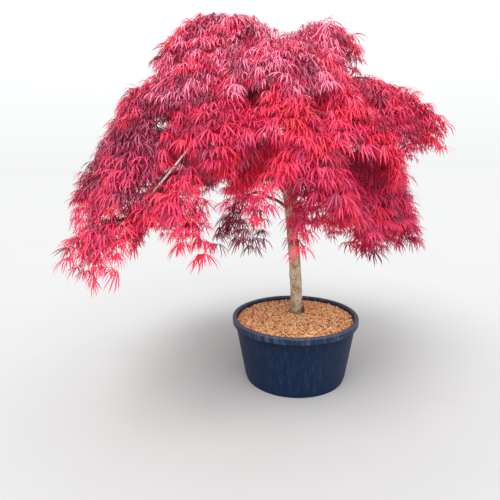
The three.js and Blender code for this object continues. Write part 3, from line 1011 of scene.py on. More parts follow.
@dataclass
class Skeleton:
    """The trunk, the boughs and the stems of the masses, as the solids have them.

    axis is the crown's upright axis. seat is the gap between a bough and its mass's stem, hang how
    far below its stem the middle of a mass's space lies, and bare_stretch the part of a bough that a
    bare one shows. The steps are the gaps between the points that spaces and limbs are known by.
    """

    axis: Span = (-0.052, 0.060)
    knots: tuple[tuple[float, float, float], ...] = (
        (*TRUNK_FOOT, SOIL_TOP),
        (0.016, 0.126, 0.800),
        (-0.016, 0.112, 1.180),
        (-0.052, 0.092, 1.480),
    )
    foot_radius: float = 0.048
    fork_radius: float = 0.040
    flare: float = 0.006
    flare_reach: float = 0.07
    lobes: int = 5
    lobe_depth: float = 0.09
    fork: float = 0.999
    sway: float = 0.016
    bough_taper: float = 0.8
    stem_root: float = 0.010
    stem_tip: float = 0.0055
    stem_handle: float = 0.42
    end_pitch: float = -70
    seat: float = 0.0003
    hang: float = 0.115
    sag: float = 0.8
    bare_stretch: Span = (0.5, 0.86)
    space_step: float = 0.04
    limb_step: float = 0.018
    trunk: TrunkLine = field(init=False)
    boughs: dict[str, Arch] = field(init=False, default_factory=dict)
    stems: list[Arch] = field(init=False, default_factory=list)

    def __post_init__(self) -> None:
        """Lays out the trunk, each bough from its parent and each mass's stem."""
        self.trunk = TrunkLine(np.array(self.knots))
        lines: dict[str, Line] = {"trunk": self.trunk}
        for order, row in enumerate(CROWN):
            start = lines[row.parent].at(min(self.fork, row.share))
            end, tip = self.polar(row.start), self.polar(row.tip)
            leave, arrive = pitched(start, end, row.leave), pitched(end, tip, row.pitch)
            bough = Arch(start, leave, end, arrive, row.handle, self.sway, order)
            lines[row.name] = self.boughs[row.name] = bough
            begin = end + arrive * self.seat
            way = pitched(begin, tip, self.end_pitch)
            self.stems.append(Arch(begin, arrive, tip, way, self.stem_handle))
        self._index_spaces()

    def polar(self, place: tuple[float, float, float]) -> Array:
        """Turns a place of the crown's table into a point.

        Args:
            place: Azimuth, distance from the crown's axis and height, in millimetres.

        Returns:
            The point.
        """
        azimuth, distance, height = math.radians(place[0]), place[1] * MM, place[2] * MM
        x, y = self.axis
        return np.array([x + distance * math.cos(azimuth), y + distance * math.sin(azimuth), height])

    def outward(self, point: Array) -> Array:
        """The level direction away from the crown's axis."""
        return unit(np.array([point[0] - self.axis[0], point[1] - self.axis[1], 0.0]))

    def trunk_radius(self, share: Array, angle: Array) -> Array:
        """The trunk's radius: a steady taper, with shallow lobes where the roots set out.

        Args:
            share: The shares of its length.
            angle: The angles round it, in radians.

        Returns:
            The radius at each.
        """
        flare = np.exp(-share / self.flare_reach)
        lobes = 1 + self.lobe_depth * flare * np.cos(self.lobes * angle)
        return (lerp(self.foot_radius, self.fork_radius, share) + self.flare * flare) * lobes

    def bough_radius(self, row: Row, share: Array) -> Array:
        """A bough's radius along its length."""
        root = row.root * MM
        return lerp(root, min(root, self.stem_root), share**self.bough_taper)

    def bough_room(self, row: Row, share: float) -> float:
        """The bough's radius, with the room that foliage leaves round a bare stretch.

        Args:
            row: The bough's row.
            share: The share of its length.

        Returns:
            The radius to keep clear.
        """
        low, high = self.bare_stretch
        room = row.bare * MM if low < share < high else 0.0
        return float(self.bough_radius(row, share)) + room

    def _index_spaces(self) -> None:
        """Stores what says whose space a point is in, and how near the limbs are."""
        hanging = [stem.samples(self.space_step) - UP * self.hang for stem in self.stems]
        self._owners = [own for own, points in enumerate(hanging) for _ in points]
        self._spaces = tree_of(np.concatenate(hanging))
        limbs = [(self.trunk, lambda s: float(self.trunk_radius(s, 0.0)))]
        limbs += [(self.boughs[row.name], lambda s, row=row: self.bough_room(row, s)) for row in CROWN]
        runs = [(line.samples(self.limb_step), radius_at) for line, radius_at in limbs]
        self._limbs = tree_of(np.concatenate([points for points, _ in runs]))
        self._limb_radii = [
            radius_at(i / (len(points) - 1)) for points, radius_at in runs for i in range(len(points))
        ]
        self._widest = max(self._limb_radii)

    def owns(self, own: int, points: Iterable[Array]) -> bool:
        """Whether points lie in the space of the mass with this number."""
        return all(self._owners[self._spaces.find(point)[1]] == own for point in points)

    def clear(self, points: Iterable[Array], margin: float) -> bool:
        """Says whether points lie away from every limb.

        Args:
            points: The points.
            margin: The least gap to a limb's surface.

        Returns:
            True where all of them do.
        """
        for point in points:
            for _, index, distance in self._limbs.find_range(point, self._widest + margin):
                if distance < self._limb_radii[index] + margin:
                    return False
        return True

    def fan_point(self, row: Row, stem: Arch, along: float, across: float) -> Array:
        """A point of the fan that a mass fills, beside its stem and sagging towards its edge.

        Args:
            row: The mass's row.
            stem: Its stem.
            along: The share of the stem's length.
            across: The share of half the mass's width, to one side or the other.

        Returns:
            The point.
        """
        half = row.spread * MM
        return stem.at(along) + stem.across * across * half - UP * self.sag * half * across * across


# Container, soil and top dressing


@dataclass
class Container:
    """The round nursery container, with a rolled rim on a tapering wall.

    The wall tapers from wall_top below the rim to base at the ground. It stands on a ring that is
    step narrower than the wall, round a hollow underside. corners is the rounding of each point of
    the section, from the underside's middle to the floor's.
    """

    height: float = 0.500
    rim_radius: float = 0.490
    rim_width: float = 0.034
    rim_band: float = 0.052
    rim_slope: float = 0.004
    rim_shoulder: float = 0.016
    rim_inside: float = 0.034
    wall: float = 0.009
    wall_top: float = 0.466
    base: float = 0.392
    foot: float = 0.026
    step: float = 0.007
    ring: float = 0.040
    ring_slope: float = 0.005
    hollow: float = 0.004
    floor: float = 0.012
    corners: tuple[float, ...] = (
        *(0.0, 0.003, 0.002, 0.004, 0.003, 0.004, 0.003, 0.005),
        *(0.008, 0.007, 0.012, 0.004, 0.003, 0.004, 0.0),
    )
    around: int = 192
    sharp: float = 50
    finish: PlasticFinish = PlasticFinish(
        "moulded_plastic", linear(3, 30, 60), linear(92, 99, 120), linear(2, 12, 28)
    )

    def wall_radius(self, height: float) -> float:
        """The wall's outer radius at a height."""
        return lerp(self.base, self.wall_top, height / (self.height - self.rim_band))

    def profile(self) -> list[tuple[float, float, float]]:
        """Lays out the section, from the underside's middle round the rim to the floor's.

        Returns:
            Radius, height and corner radius of each point.
        """
        under = self.height - self.rim_band
        inner = self.rim_radius - self.rim_width
        inside = self.wall_radius(self.floor) - self.wall - self.step
        section = (
            (0, self.hollow),
            (self.base - self.ring - self.ring_slope, self.hollow),
            (self.base - self.ring, 0),
            (self.base - self.step, 0),
            (self.base - self.step, self.foot),
            (self.wall_radius(self.foot), self.foot + self.step),
            (self.wall_radius(under), under),
            (self.rim_radius - self.rim_slope, under),
            (self.rim_radius, self.height - self.rim_shoulder),
            (self.rim_radius - self.rim_slope, self.height),
            (inner, self.height),
            (inner, self.height - self.rim_inside),
            (self.wall_radius(under) - self.wall, under),
            (inside, self.floor),
            (0, self.floor),
        )
        return [(radius, height, corner) for (radius, height), corner in zip(section, self.corners)]

    def build(self) -> None:
        """The container, in place of its solid."""
        mesh = mesh_of(lathe(rounded(self.profile()), self.around), self.sharp)
        published(mesh, "nursery_container", self.finish.make(), Slot.CONTAINER, ["container"])


def grit(name: str, light: Colour, dark: Colour) -> EarthFinish:
    """The finish of one shade of granules."""
    return EarthFinish("granules_" + name, light, dark, crumb=0.004, depth=0.0012)


@dataclass
class TopDressing:
    """A layer of bark granules over the soil, and the soil's own finish.

    The bed rises in a mound at the trunk and dips in soft hollows, and settled is how far it lies
    below the solid's top. shares says how many of the granules take each shade, radius their sizes,
    stretch and ragged their form, stray and lift how far they stray from an even row, and tilt and
    turn how they lie, in radians.
    """

    top: float = 0.472
    depth: float = 0.0355
    edge: float = 0.4545
    edge_drop: float = 0.008
    bottom_edge: float = 0.452
    settled: float = 0.004
    mound: float = 0.007
    mound_reach: float = 0.1
    hollows: float = 0.004
    hollow_scale: float = 7
    around: int = 120
    rings: int = 40
    spacing: float = 0.0112
    radius: Span = (0.0052, 0.0094)
    trunk_room: float = 0.062
    kinds: int = 6
    stretch: tuple[float, float, float] = (1.25, 0.95, 0.72)
    ragged: Span = (0.72, 1.18)
    stray: float = 0.4
    lift: Span = (-0.001, 0.0035)
    tilt: float = 0.5
    turn: float = 6.28
    seed: int = 61
    bed: EarthFinish = EarthFinish("mulch_bed", linear(214, 138, 84), linear(150, 90, 54), 0.009, 0.006)
    soil: EarthFinish = EarthFinish("potting_earth", linear(70, 50, 36), linear(32, 23, 17), 0.006, 0.005)
    grains: tuple[EarthFinish, ...] = (
        grit("tan", linear(255, 211, 148), linear(242, 170, 104)),
        grit("rust", linear(247, 163, 95), linear(212, 124, 64)),
        grit("cream", linear(255, 240, 206), linear(252, 219, 170)),
        grit("brown", linear(166, 102, 58), linear(112, 66, 36)),
    )
    shares: tuple[float, ...] = (0.34, 0.25, 0.24, 0.17)

    def surface(self, x: float, y: float) -> float:
        """The height of the bed: level, with a low mound at the trunk and soft hollows.

        Args:
            x: The place to the right.
            y: The place to the back.

        Returns:
            The height.
        """
        away = math.hypot(x - TRUNK_FOOT[0], y - TRUNK_FOOT[1])
        hollow = noise.noise(Vector((x * self.hollow_scale, y * self.hollow_scale, 2.0))) * self.hollows
        return self.top - self.settled + hollow + self.mound * math.exp(-((away / self.mound_reach) ** 2))

    def build_bed(self) -> None:
        """The bed that the granules lie on, in place of the mulch's solid."""
        low = self.top - self.depth
        run = [(0, low), (self.bottom_edge, low), (self.edge, self.top - self.edge_drop)]
        run += [(self.edge * (1 - k / self.rings), self.top) for k in range(1, self.rings + 1)]
        form = lathe([Vector((radius, 0, height)) for radius, height in run], self.around)
        for vert in form.verts:
            if vert.co.z > self.top - MM:
                vert.co.z = self.surface(vert.co.x, vert.co.y)
        published(mesh_of(form), "mulch_bed", self.bed.make(), Slot.MULCH, ["mulch"])

    def grain_shapes(self, rng: np.random.Generator) -> list[Shape]:
        """Makes a few angular crumbs.

        Args:
            rng: The source of their roughness.

        Returns:
            The crumbs.
        """
        shapes = []
        for _ in range(self.kinds):
            form = bmesh.new()
            bmesh.ops.create_icosphere(form, subdivisions=1, radius=1.0)
            bmesh.ops.scale(form, vec=self.stretch, verts=form.verts)
            shape = Shape.of(form)
            shape.points = shape.points * rng.uniform(*self.ragged, (len(shape.points), 1))
            shapes.append(shape)
        return shapes

    def build_grains(self) -> None:
        """The granules, one piece for each shade."""
        rng = np.random.default_rng(self.seed)
        shapes = self.grain_shapes(rng)
        reach = int(self.edge / self.spacing) + 2
        i, j = np.meshgrid(np.arange(-reach, reach + 1), np.arange(-reach * 2, reach * 2 + 1))
        places = np.stack([i + 0.5 * (j % 2), j * math.sqrt(3) / 2], axis=-1).reshape(-1, 2) * self.spacing
        places = places + rng.uniform(-self.stray, self.stray, places.shape) * self.spacing
        inside = np.hypot(*places.T) < self.edge - self.edge_drop
        places = places[inside & (np.hypot(*(places - TRUNK_FOOT).T) > self.trunk_room)]
        count = len(places)
        heights = np.array([self.surface(x, y) for x, y in places]) + rng.uniform(*self.lift, count)
        centres = np.column_stack([places, heights])
        shades = rng.choice(len(self.grains), count, p=self.shares)
        kinds = rng.integers(0, len(shapes), count)
        sizes = rng.uniform(*self.radius, count)
        lies = rng.uniform((-self.tilt, -self.tilt, 0), (self.tilt, self.tilt, self.turn), (count, 3))
        turns = np.array([Euler(angles).to_matrix() for angles in lies])
        for shade, finish in enumerate(self.grains):
            groups = []
            for kind, shape in enumerate(shapes):
                pick = (shades == shade) & (kinds == kind)
                groups.append((shape.copies(turns[pick], sizes[pick], centres[pick]), shape.triangles))
            published(mesh_from(*joined(groups)), finish.name, finish.make(), Slot.MULCH)

    def build(self) -> None:
        """The bed, its granules and the soil below them, which keeps its solid's shape."""
        self.build_bed()
        self.build_grains()
        soil = bpy.data.objects["potting_soil"].data
        soil.materials.clear()
        soil.materials.append(self.soil.make())
        log.info("potting_soil: %d faces", len(soil.polygons))


# Trunk and boughs


class Layer(NamedTuple):
    """One layer of a bark's relief: how fine it is across and along the limb, and its height."""

    across: float
    along: float
    height: float


class Scar(NamedTuple):
    """The scar of an old branch: its share of the trunk, its angle in radians, height and size."""

    at: float
    turn: float
    height: float
    size: float


def bark_height(layers: Iterable[Layer], point: Array) -> float:
    """Adds up a bark's layers of relief.

    Args:
        layers: The layers.
        point: The place on the limb.

    Returns:
        The height there.
    """
    x, y, z = point
    return sum(
        layer.height * noise.noise(Vector((x * layer.across, y * layer.across, z * layer.along)))
        for layer in layers
    )


@dataclass
class Limbs:
    """The trunk and the boughs, as meshes with the bark's own relief.

    collar is how much a bough swells where it leaves its parent, scar_hollow and scar_heart how deep
    and wide a scar's middle is, and knob how far the graft stands out on one side, at knob_turn.
    """

    skeleton: Skeleton
    trunk_around: int = 72
    trunk_rings: int = 250
    bough_around: int = 18
    bough_ring: float = 0.011
    fewest_rings: int = 24
    sharp: float = 80
    collar: float = 0.45
    collar_reach: float = 0.05
    trunk_layers: tuple[Layer, ...] = (
        Layer(55, 11, 0.0016),
        Layer(30, 130, 0.0009),
        Layer(9, 6, 0.0035),
        Layer(190, 90, 0.0007),
    )
    bough_layers: tuple[Layer, ...] = (Layer(24, 24, 0.0016), Layer(120, 120, 0.0006))
    scars: tuple[Scar, ...] = (
        Scar(0.34, 1.1, 0.007, 0.03),
        Scar(0.55, 4.0, 0.008, 0.028),
        Scar(0.72, 2.4, 0.006, 0.03),
        Scar(0.86, 5.3, 0.009, 0.03),
    )
    scar_hollow: float = 1.1
    scar_heart: float = 0.45
    trunk_length: float = 1.06
    trunk_radius: float = 0.045
    graft_at: float = 0.055
    graft_reach: float = 0.032
    graft_swell: float = 0.001
    knob: float = 0.018
    knob_turn: float = 0.35
    pale_bough: str = "lobe_left"
    pale_slimness: float = 0.74
    trunk_bark: BarkFinish = BarkFinish(
        "trunk_bark",
        linear(218, 196, 166),
        linear(170, 144, 118),
        linear(62, 48, 36),
        linear(84, 72, 50),
        stain_top=0.61,
        lichen_spots=Cloud(19, low=0.47, high=0.6, share=0.4),
        hollow=(0.074, 0.104, 0.498),
    )
    bough_bark: BarkFinish = BarkFinish(
        "bough_bark", linear(128, 106, 88), linear(92, 70, 58), linear(48, 34, 30), linear(84, 72, 60)
    )
    pale_bark: BarkFinish = BarkFinish(
        "pale_bough_bark",
        linear(246, 238, 226),
        linear(226, 212, 194),
        linear(158, 138, 120),
        linear(190, 178, 158),
    )

    def wrapped(
        self,
        line: Line,
        radius_at: Callable[[Array, Array], Array],
        around: int,
        rings: int,
        relief: Callable[[Array, Array, Array], Array],
    ) -> bmesh.types.BMesh:
        """Wraps a grid round a line and closes its ends.

        Args:
            line: The limb's middle line.
            radius_at: The radius for shares of the length and angles round the line.
            around: How many faces go round.
            rings: How many faces go along.
            relief: The height of the bark at points, for shares of the length and angles.

        Returns:
            The limb.
        """
        form = bmesh.new()
        bmesh.ops.create_grid(form, x_segments=around, y_segments=rings, size=0.5)
        grid = np.array([vert.co for vert in form.verts])
        angle = FULL_TURN * (grid[:, 0] + 0.5)
        share = np.clip(grid[:, 1] + 0.5, 0, 1)
        rows = np.round(share * rings).astype(int)
        middle = line.at(np.linspace(0, 1, rings + 1))
        side, other = (part[0] for part in frames(middle[None]))
        ring = side[rows] * np.cos(angle)[:, None] + other[rows] * np.sin(angle)[:, None]
        points = middle[rows] + ring * radius_at(share, angle)[:, None]
        points = points + ring * relief(points, share, angle)[:, None]
        for vert, point in zip(form.verts, points):
            vert.co = point
        bmesh.ops.remove_doubles(form, verts=form.verts, dist=MERGED)
        ends = [edge for edge in form.edges if edge.is_boundary]
        bmesh.ops.holes_fill(form, edges=ends, sides=0)
        return form

    def scar_height(self, scar: Scar, share: float, angle: float) -> float:
        """The height of a scar at a place on the trunk: a round lip with a hollow heart.

        Args:
            scar: The scar.
            share: The place's share of the trunk's length.
            angle: Its angle round the trunk, in radians.

        Returns:
            The height.
        """
        aside = self.trunk_radius * math.remainder(angle - scar.turn, FULL_TURN)
        gap = math.hypot((share - scar.at) * self.trunk_length, aside)
        heart = self.scar_hollow * math.exp(-((gap / (self.scar_heart * scar.size)) ** 2))
        return scar.height * math.exp(-((gap / scar.size) ** 2)) * (1 - heart)

    def trunk_relief(self, points: Array, share: Array, angle: Array) -> Array:
        """Shallow ridges, lenticels, old branch scars and a swollen graft just above the soil.

        Args:
            points: The points of the smooth trunk.
            share: Their shares of its length.
            angle: Their angles round it, in radians.

        Returns:
            The height at each.
        """
        heights = []
        for point, s, a in zip(points, share, angle):
            height = bark_height(self.trunk_layers, point)
            for scar in self.scars:
                height += self.scar_height(scar, s, a)
            graft = math.exp(-(((s - self.graft_at) / self.graft_reach) ** 2))
            toward = math.atan2(point[1] - TRUNK_FOOT[1], point[0] - TRUNK_FOOT[0]) + self.knob_turn
            height += graft * (self.graft_swell + self.knob * max(0.0, math.cos(toward)) ** 2)
            heights.append(height)
        return np.array(heights)

    def bough_relief(self, points: Array, share: Array, angle: Array) -> Array:
        """The relief of a bough's younger bark, at its points alone."""
        return np.array([bark_height(self.bough_layers, point) for point in points])

    def build_trunk(self) -> None:
        """The trunk, whose foot is level."""
        sk = self.skeleton
        form = self.wrapped(sk.trunk, sk.trunk_radius, self.trunk_around, self.trunk_rings, self.trunk_relief)
        for vert in form.verts:
            vert.co.z = max(vert.co.z, SOIL_TOP)
        mesh = mesh_of(form, self.sharp)
        published(mesh, "trunk_with_bark", self.trunk_bark.make(), Slot.BARK, ["trunk"])

    def bough_form(self, row: Row) -> bmesh.types.BMesh:
        """One bough, with a collar where it leaves its parent.

        Args:
            row: The bough's row.

        Returns:
            The bough.
        """
        line = self.skeleton.boughs[row.name]
        slimness = self.pale_slimness if row.name == self.pale_bough else 1.0

        def radius_at(share: Array, _: Array) -> Array:
            """The radius with the collar's swelling."""
            swelling = 1 + self.collar * np.exp(-share * line.length / self.collar_reach)
            return self.skeleton.bough_radius(row, share) * swelling * slimness

        rings = max(self.fewest_rings, round(line.length / self.bough_ring))
        return self.wrapped(line, radius_at, self.bough_around, rings, self.bough_relief)

    def build_boughs(self, name: str, finish: BarkFinish, rows: Sequence[Row]) -> None:
        """Joins boughs into one piece.

        Args:
            name: The piece's name.
            finish: Its bark.
            rows: The boughs' rows.
        """
        whole = bmesh.new()
        for row in rows:
            mesh = mesh_of(self.bough_form(row), self.sharp)
            whole.from_mesh(mesh)
            bpy.data.meshes.remove(mesh)
        nodes = ["bough_" + row.name for row in rows]
        published(mesh_of(whole, self.sharp), name, finish.make(), Slot.BARK, nodes)

    def build(self) -> None:
        """The trunk, the dark boughs as one piece and the pale one as another."""
        self.build_trunk()
        dark = [row for row in CROWN if row.name != self.pale_bough]
        pale = [row for row in CROWN if row.name == self.pale_bough]
        self.build_boughs("boughs_with_bark", self.bough_bark, dark)
        self.build_boughs("pale_bough_with_bark", self.pale_bark, pale)


# Foliage


@dataclass(frozen=True)
class Tint:
    """One autumn colour, the slot that it belongs to and its share of each tone, in their order."""

    name: str
    colour: Colour
    slot: Slot
    amounts: tuple[float, ...]


# rose is a pale pink that stands for a painted sheen of sky light and goes only to the crest; burgundy and
# plum mostly go where shade is painted
TINTS = (
    Tint("scarlet", linear(230, 44, 80), Slot.SCARLET, (0.44, 0.12, 0.21, 0.06, 0.0)),
    Tint("rose", linear(230, 118, 150), Slot.SCARLET, (0.0, 0.44, 0.0, 0.0, 0.0)),
    Tint("ember", linear(212, 38, 56), Slot.SCARLET, (0.04, 0.01, 0.02, 0.02, 0.0)),
    Tint("crimson", linear(208, 45, 90), Slot.CRIMSON, (0.39, 0.22, 0.46, 0.16, 0.05)),
    Tint("carmine", linear(170, 36, 78), Slot.CRIMSON, (0.10, 0.12, 0.20, 0.22, 0.2)),
    Tint("burgundy", linear(122, 22, 52), Slot.BURGUNDY, (0.03, 0.02, 0.06, 0.26, 0.45)),
    Tint("plum", linear(156, 60, 92), Slot.BURGUNDY, (0.01, 0.12, 0.04, 0.26, 0.3)),
)

MASS_SLOTS = {
    Tone.SCARLET: Slot.SCARLET,
    Tone.ROSE: Slot.SCARLET,
    Tone.CRIMSON: Slot.CRIMSON,
    Tone.BURGUNDY: Slot.BURGUNDY,
    Tone.SHADED: Slot.BURGUNDY,
}


@dataclass(frozen=True)
class LeafShape:
    """A finely cut leaf on its stalk. Lengths are shares of the leaf's reach from its root.

    lobes holds each lobe's angle from the middle line and its length, and edges how far a lobe's
    two toothed edges stand out from its middle, from its base to its tip. heart is where the lobes
    meet, in shares of the stalk. The rest is how unlike each other the lobes are, and how a lobe
    bends as it droops.
    """

    lobes: tuple[Span, ...] = (
        (-120, 0.34),
        (-88, 0.52),
        (-57, 0.68),
        (-28, 0.77),
        (0, 0.80),
        (28, 0.77),
        (57, 0.68),
        (88, 0.52),
        (120, 0.34),
    )
    edges: tuple[Span, ...] = ((0.017, 0.029), (0.034, 0.020), (0.014, 0.025))
    stalk: float = 0.22
    stalk_width: float = 0.006
    stalk_section: tuple[Span, ...] = ((-1, -0.6), (1, -0.6), (0, 1))
    heart: Span = (0.96, 0.22)
    turn_stray: float = 10
    fall_stray: float = 13
    twist: float = 0.35
    length_stray: Span = (0.88, 1.1)
    droop_stray: Span = (0.8, 1.15)
    bend_power: float = 1.2
    bend_forward: float = 0.85
    bend_down: float = 1.1

    def make(self, pitch: float, droop: float, rng: np.random.Generator) -> Shape:
        """One leaf that sets out along +Y and droops towards -Z.

        Args:
            pitch: How steeply the lobes set out below the horizontal.
            droop: How far they bend down by their tips, from 0 to 1.
            rng: The source of its small irregularities.

        Returns:
            The leaf, of a reach of one.
        """
        form = bmesh.new()
        heart = np.array([0.0, self.stalk * self.heart[0], self.stalk * self.heart[1]])
        self.add_stalk(form, heart)
        for angle, length in self.lobes:
            turn = math.radians(angle + rng.uniform(-self.turn_stray, self.turn_stray))
            fall = math.radians(pitch + rng.uniform(-self.fall_stray, self.fall_stray))
            level = np.array([math.sin(turn), math.cos(turn), 0.0])
            side = np.array([math.cos(turn), -math.sin(turn), 0.0])
            way = unit(level * math.cos(fall) - UP * math.sin(fall))
            side = unit(side + UP * rng.uniform(-self.twist, self.twist))
            reach = length * rng.uniform(*self.length_stray)
            self.add_lobe(form, heart, way, side, reach, droop * rng.uniform(*self.droop_stray))
        return Shape.of(form)

    def add_stalk(self, form: bmesh.types.BMesh, heart: Array) -> None:
        """Adds a slim three-sided stalk from the leaf's root to its heart.

        Args:
            form: The leaf.
            heart: Where its lobes meet.
        """
        width = self.stalk_width
        foot = [form.verts.new((width * x, 0, width * z)) for x, z in self.stalk_section]
        tip = form.verts.new(heart)
        for near, far in zip(foot, (*foot[1:], foot[0])):
            form.faces.new((near, far, tip))

    def add_lobe(
        self, form: bmesh.types.BMesh, heart: Array, way: Array, side: Array, reach: float, droop: float
    ) -> None:
        """Adds a long toothed lobe that bends down towards its tip.

        Args:
            form: The leaf.
            heart: Where the lobe starts.
            way: The direction in which it sets out.
            side: The direction across it.
            reach: Its length.
            droop: How far it bends down, from 0 to 1.
        """
        steps = len(self.edges) + 1
        spot = heart
        rim = [(form.verts.new(heart),)]
        for k, widths in enumerate((*self.edges, None)):
            bend = droop * (k / (steps - 1)) ** self.bend_power
            now = unit(way * (1 - self.bend_forward * bend) - UP * self.bend_down * bend)
            spot = spot + now * reach / steps
            if widths is None:
                rim.append((form.verts.new(spot),))
            else:
                rim.append(tuple(form.verts.new(spot + side * out) for out in (widths[0], -widths[1])))
        for near, far in zip(rim, rim[1:]):
            form.faces.new((*near, *reversed(far)))


class Leaf(NamedTuple):
    """A leaf's place: where its stalk starts, which way it heads and leans, and its looks.

    The angles are radians. kind is the number of its shape and tint the number of its tint.
    """

    root: Array
    heading: float
    lean: float
    size: float
    kind: int
    tint: int


class Habit(NamedTuple):
    """How a spray rises from its limb and how far down it falls, as shares of its direction."""

    fall: Span
    rise: Span


BESIDE = Habit(fall=(-0.78, -0.46), rise=(0.05, 0.5))
OVER = Habit(fall=(-0.3, 0.06), rise=(0.1, 0.3))


class Cover(NamedTuple):
    """The sprays along a limb.

    They begin at a share of its length, dense says how full it is beside a twig, hands are the sides
    that they take in turn, with 0 for over the limb, and painted_shade_odds is how often one takes a
    darker tint as painted shade.
    """

    first: float
    dense: float
    hands: tuple[int, ...]
    painted_shade_odds: float


class Mass(NamedTuple):
    """A mass of foliage that grows: its number, its row and its own source of numbers."""

    own: int
    row: Row
    rng: np.random.Generator


@dataclass
class Foliage:
    """The masses: the solids' rule for stems and twigs, carried on to sprays of fine leaves.

    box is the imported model's box, past which a leaf may reach by proud. twig_pitch and spray_pitch
    are the gaps between twigs and between sprays. A twig starts at twig_start of its gap, twig_shift
    later on one side and sooner on the other, and reaches fan_middle of the mass's width, fan_swell
    more half way along. twig_root and stem_end are shares of the stem's own radii, and mingled is how
    many points of a twig's tip may be in a neighbour's space. Where the limb's own direction, the way
    outwards and the way aside are blended, their shares have those names. poses holds how steeply a
    leaf's lobes set out and how far they droop, for each kind of leaf. dim_reach and dim_top bound
    the crown's shaded middle, and hem_reach and hem_top its bright hem.
    """

    skeleton: Skeleton
    box: tuple[Vector, Vector]
    twig_pitch: float = 0.082
    first_at: float = 0.06
    fewest_twigs: int = 3
    twig_start: float = 0.3
    twig_shift: float = 0.2
    twig_stray: float = 0.1
    fan_middle: float = 0.7
    fan_swell: float = 0.3
    fan_stray: Span = (-0.16, 0.1)
    forward: float = 0.14
    start_pitch: float = 16
    pitch_stray: float = 8
    twig_end_pitch: float = -66
    twig_reaches: tuple[float, ...] = (1.0, 0.8, 0.6, 0.4)
    twig_root: float = 0.42
    twig_tip: float = 0.0016
    stem_end: float = 0.5
    stem_step: float = 0.03
    twig_step: float = 0.04
    twig_room: float = 0.004
    twig_cover: Cover = Cover(0.115, 1.0, (-1, 1), 0.08)
    stem_cover: Cover = Cover(0.03, 1.3, (-1, 0, 1), 0.0)
    # painted shade: sprays on the boughs, deep inside the crown, mostly take the darker tints
    bough_cover: Cover = Cover(0.42, 0.8, (-1, 0, 1), 0.6)
    mingled: int = 3
    spray_pitch: float = 0.040
    sprays_end: float = 0.995
    fewest_sprays: int = 2
    spray_stray: float = 0.3
    spray_length: float = 0.125
    spray_lengths: Span = (0.75, 1.1)
    spray_sizes: tuple[float, ...] = (1.0, 0.75, 0.5)
    spray_root: float = 0.0013
    spray_tip: float = 0.0006
    spray_room: float = 0.006
    spray_rise: float = 0.02
    spray_handle: float = 0.36
    end_along: float = 0.5
    end_down: float = 0.8
    hang_outward: float = 0.3
    hang_along: float = 0.25
    hang_aside: Span = (0.35, 0.75)
    start_along: float = 0.7
    start_aside: float = 0.75
    start_outward: float = 0.2
    leaf_length: float = 0.142
    leaf_lengths: Span = (0.66, 1.14)
    leaf_nodes: tuple[tuple[float, tuple[float, ...]], ...] = ((0.45, (-62, 62)), (0.98, (-48, 0, 48)))
    node_step: float = 0.05
    leaf_outward: float = 0.8
    leaf_turn: float = 20
    leaf_lean: float = 0.45
    leaf_shape: LeafShape = LeafShape()
    poses: tuple[Span, ...] = (
        (0, 0.62),
        (8, 0.9),
        (16, 0.55),
        (24, 0.85),
        (30, 0.5),
        (38, 0.8),
        (48, 0.5),
        (12, 0.7),
        (22, 0.65),
        (58, 0.6),
    )
    proud: float = 0.012
    # painted shade and light: sprays in the crown's shaded middle mostly take darker tints, and those on its
    # low outer hem brighter ones
    dim_reach: float = 0.42
    dim_top: float = 2.1
    dim_share: float = 0.7
    hem_reach: float = 1.02
    hem_top: float = 1.52
    wood_rings: int = 7
    wood_sides: int = 5
    spray_rings: int = 5
    spray_sides: int = 3
    seed: int = 4021
    seed_step: int = 97
    wood: BarkFinish = BarkFinish(
        "twig_bark", linear(112, 62, 58), linear(86, 40, 42), linear(52, 26, 28), linear(104, 74, 62)
    )

    def __post_init__(self) -> None:
        """Makes the kinds of leaf."""
        self.leaves: list[Leaf] = []
        self.twigs: list[tuple[Array, Span]] = []
        self.shoots: list[tuple[Array, Array, Array, Array]] = []
        rng = np.random.default_rng(self.seed)
        self.shapes = [self.leaf_shape.make(pitch, droop, rng) for pitch, droop in self.poses]

    def grow_mass(self, mass: Mass) -> None:
        """Grows one mass: a stem, twigs on both sides of it, and sprays along both and the bough.

        Args:
            mass: The mass.
        """
        sk, rng = self.skeleton, mass.rng
        stem, bough = sk.stems[mass.own], sk.boughs[mass.row.name]
        self.twigs.append((stem.samples(self.stem_step), (sk.stem_root, sk.stem_tip * self.stem_end)))
        rest = 1 - self.first_at
        count = max(self.fewest_twigs, round(stem.length * rest / self.twig_pitch))
        for i in range(count):
            for side in (-1, 1):
                stray = rng.uniform(-self.twig_stray, self.twig_stray)
                place = i + self.twig_start + self.twig_shift * side + stray
                along = self.first_at + rest * place / count
                width = self.fan_middle + self.fan_swell * math.sin(math.pi * along)
                across = side * width * (1 + rng.uniform(*self.fan_stray))
                twig = self.twig(mass, along, across)
                if twig is not None:
                    root = self.twig_root * lerp(sk.stem_root, sk.stem_tip, along)
                    self.twigs.append((twig.samples(self.twig_step), (root, self.twig_tip)))
                    self.grow_sprays(mass, twig, self.twig_cover)
        self.grow_sprays(mass, stem, self.stem_cover)
        first = sk.bare_stretch[1] if mass.row.bare else self.bough_cover.first
        self.grow_sprays(mass, bough, self.bough_cover._replace(first=first))

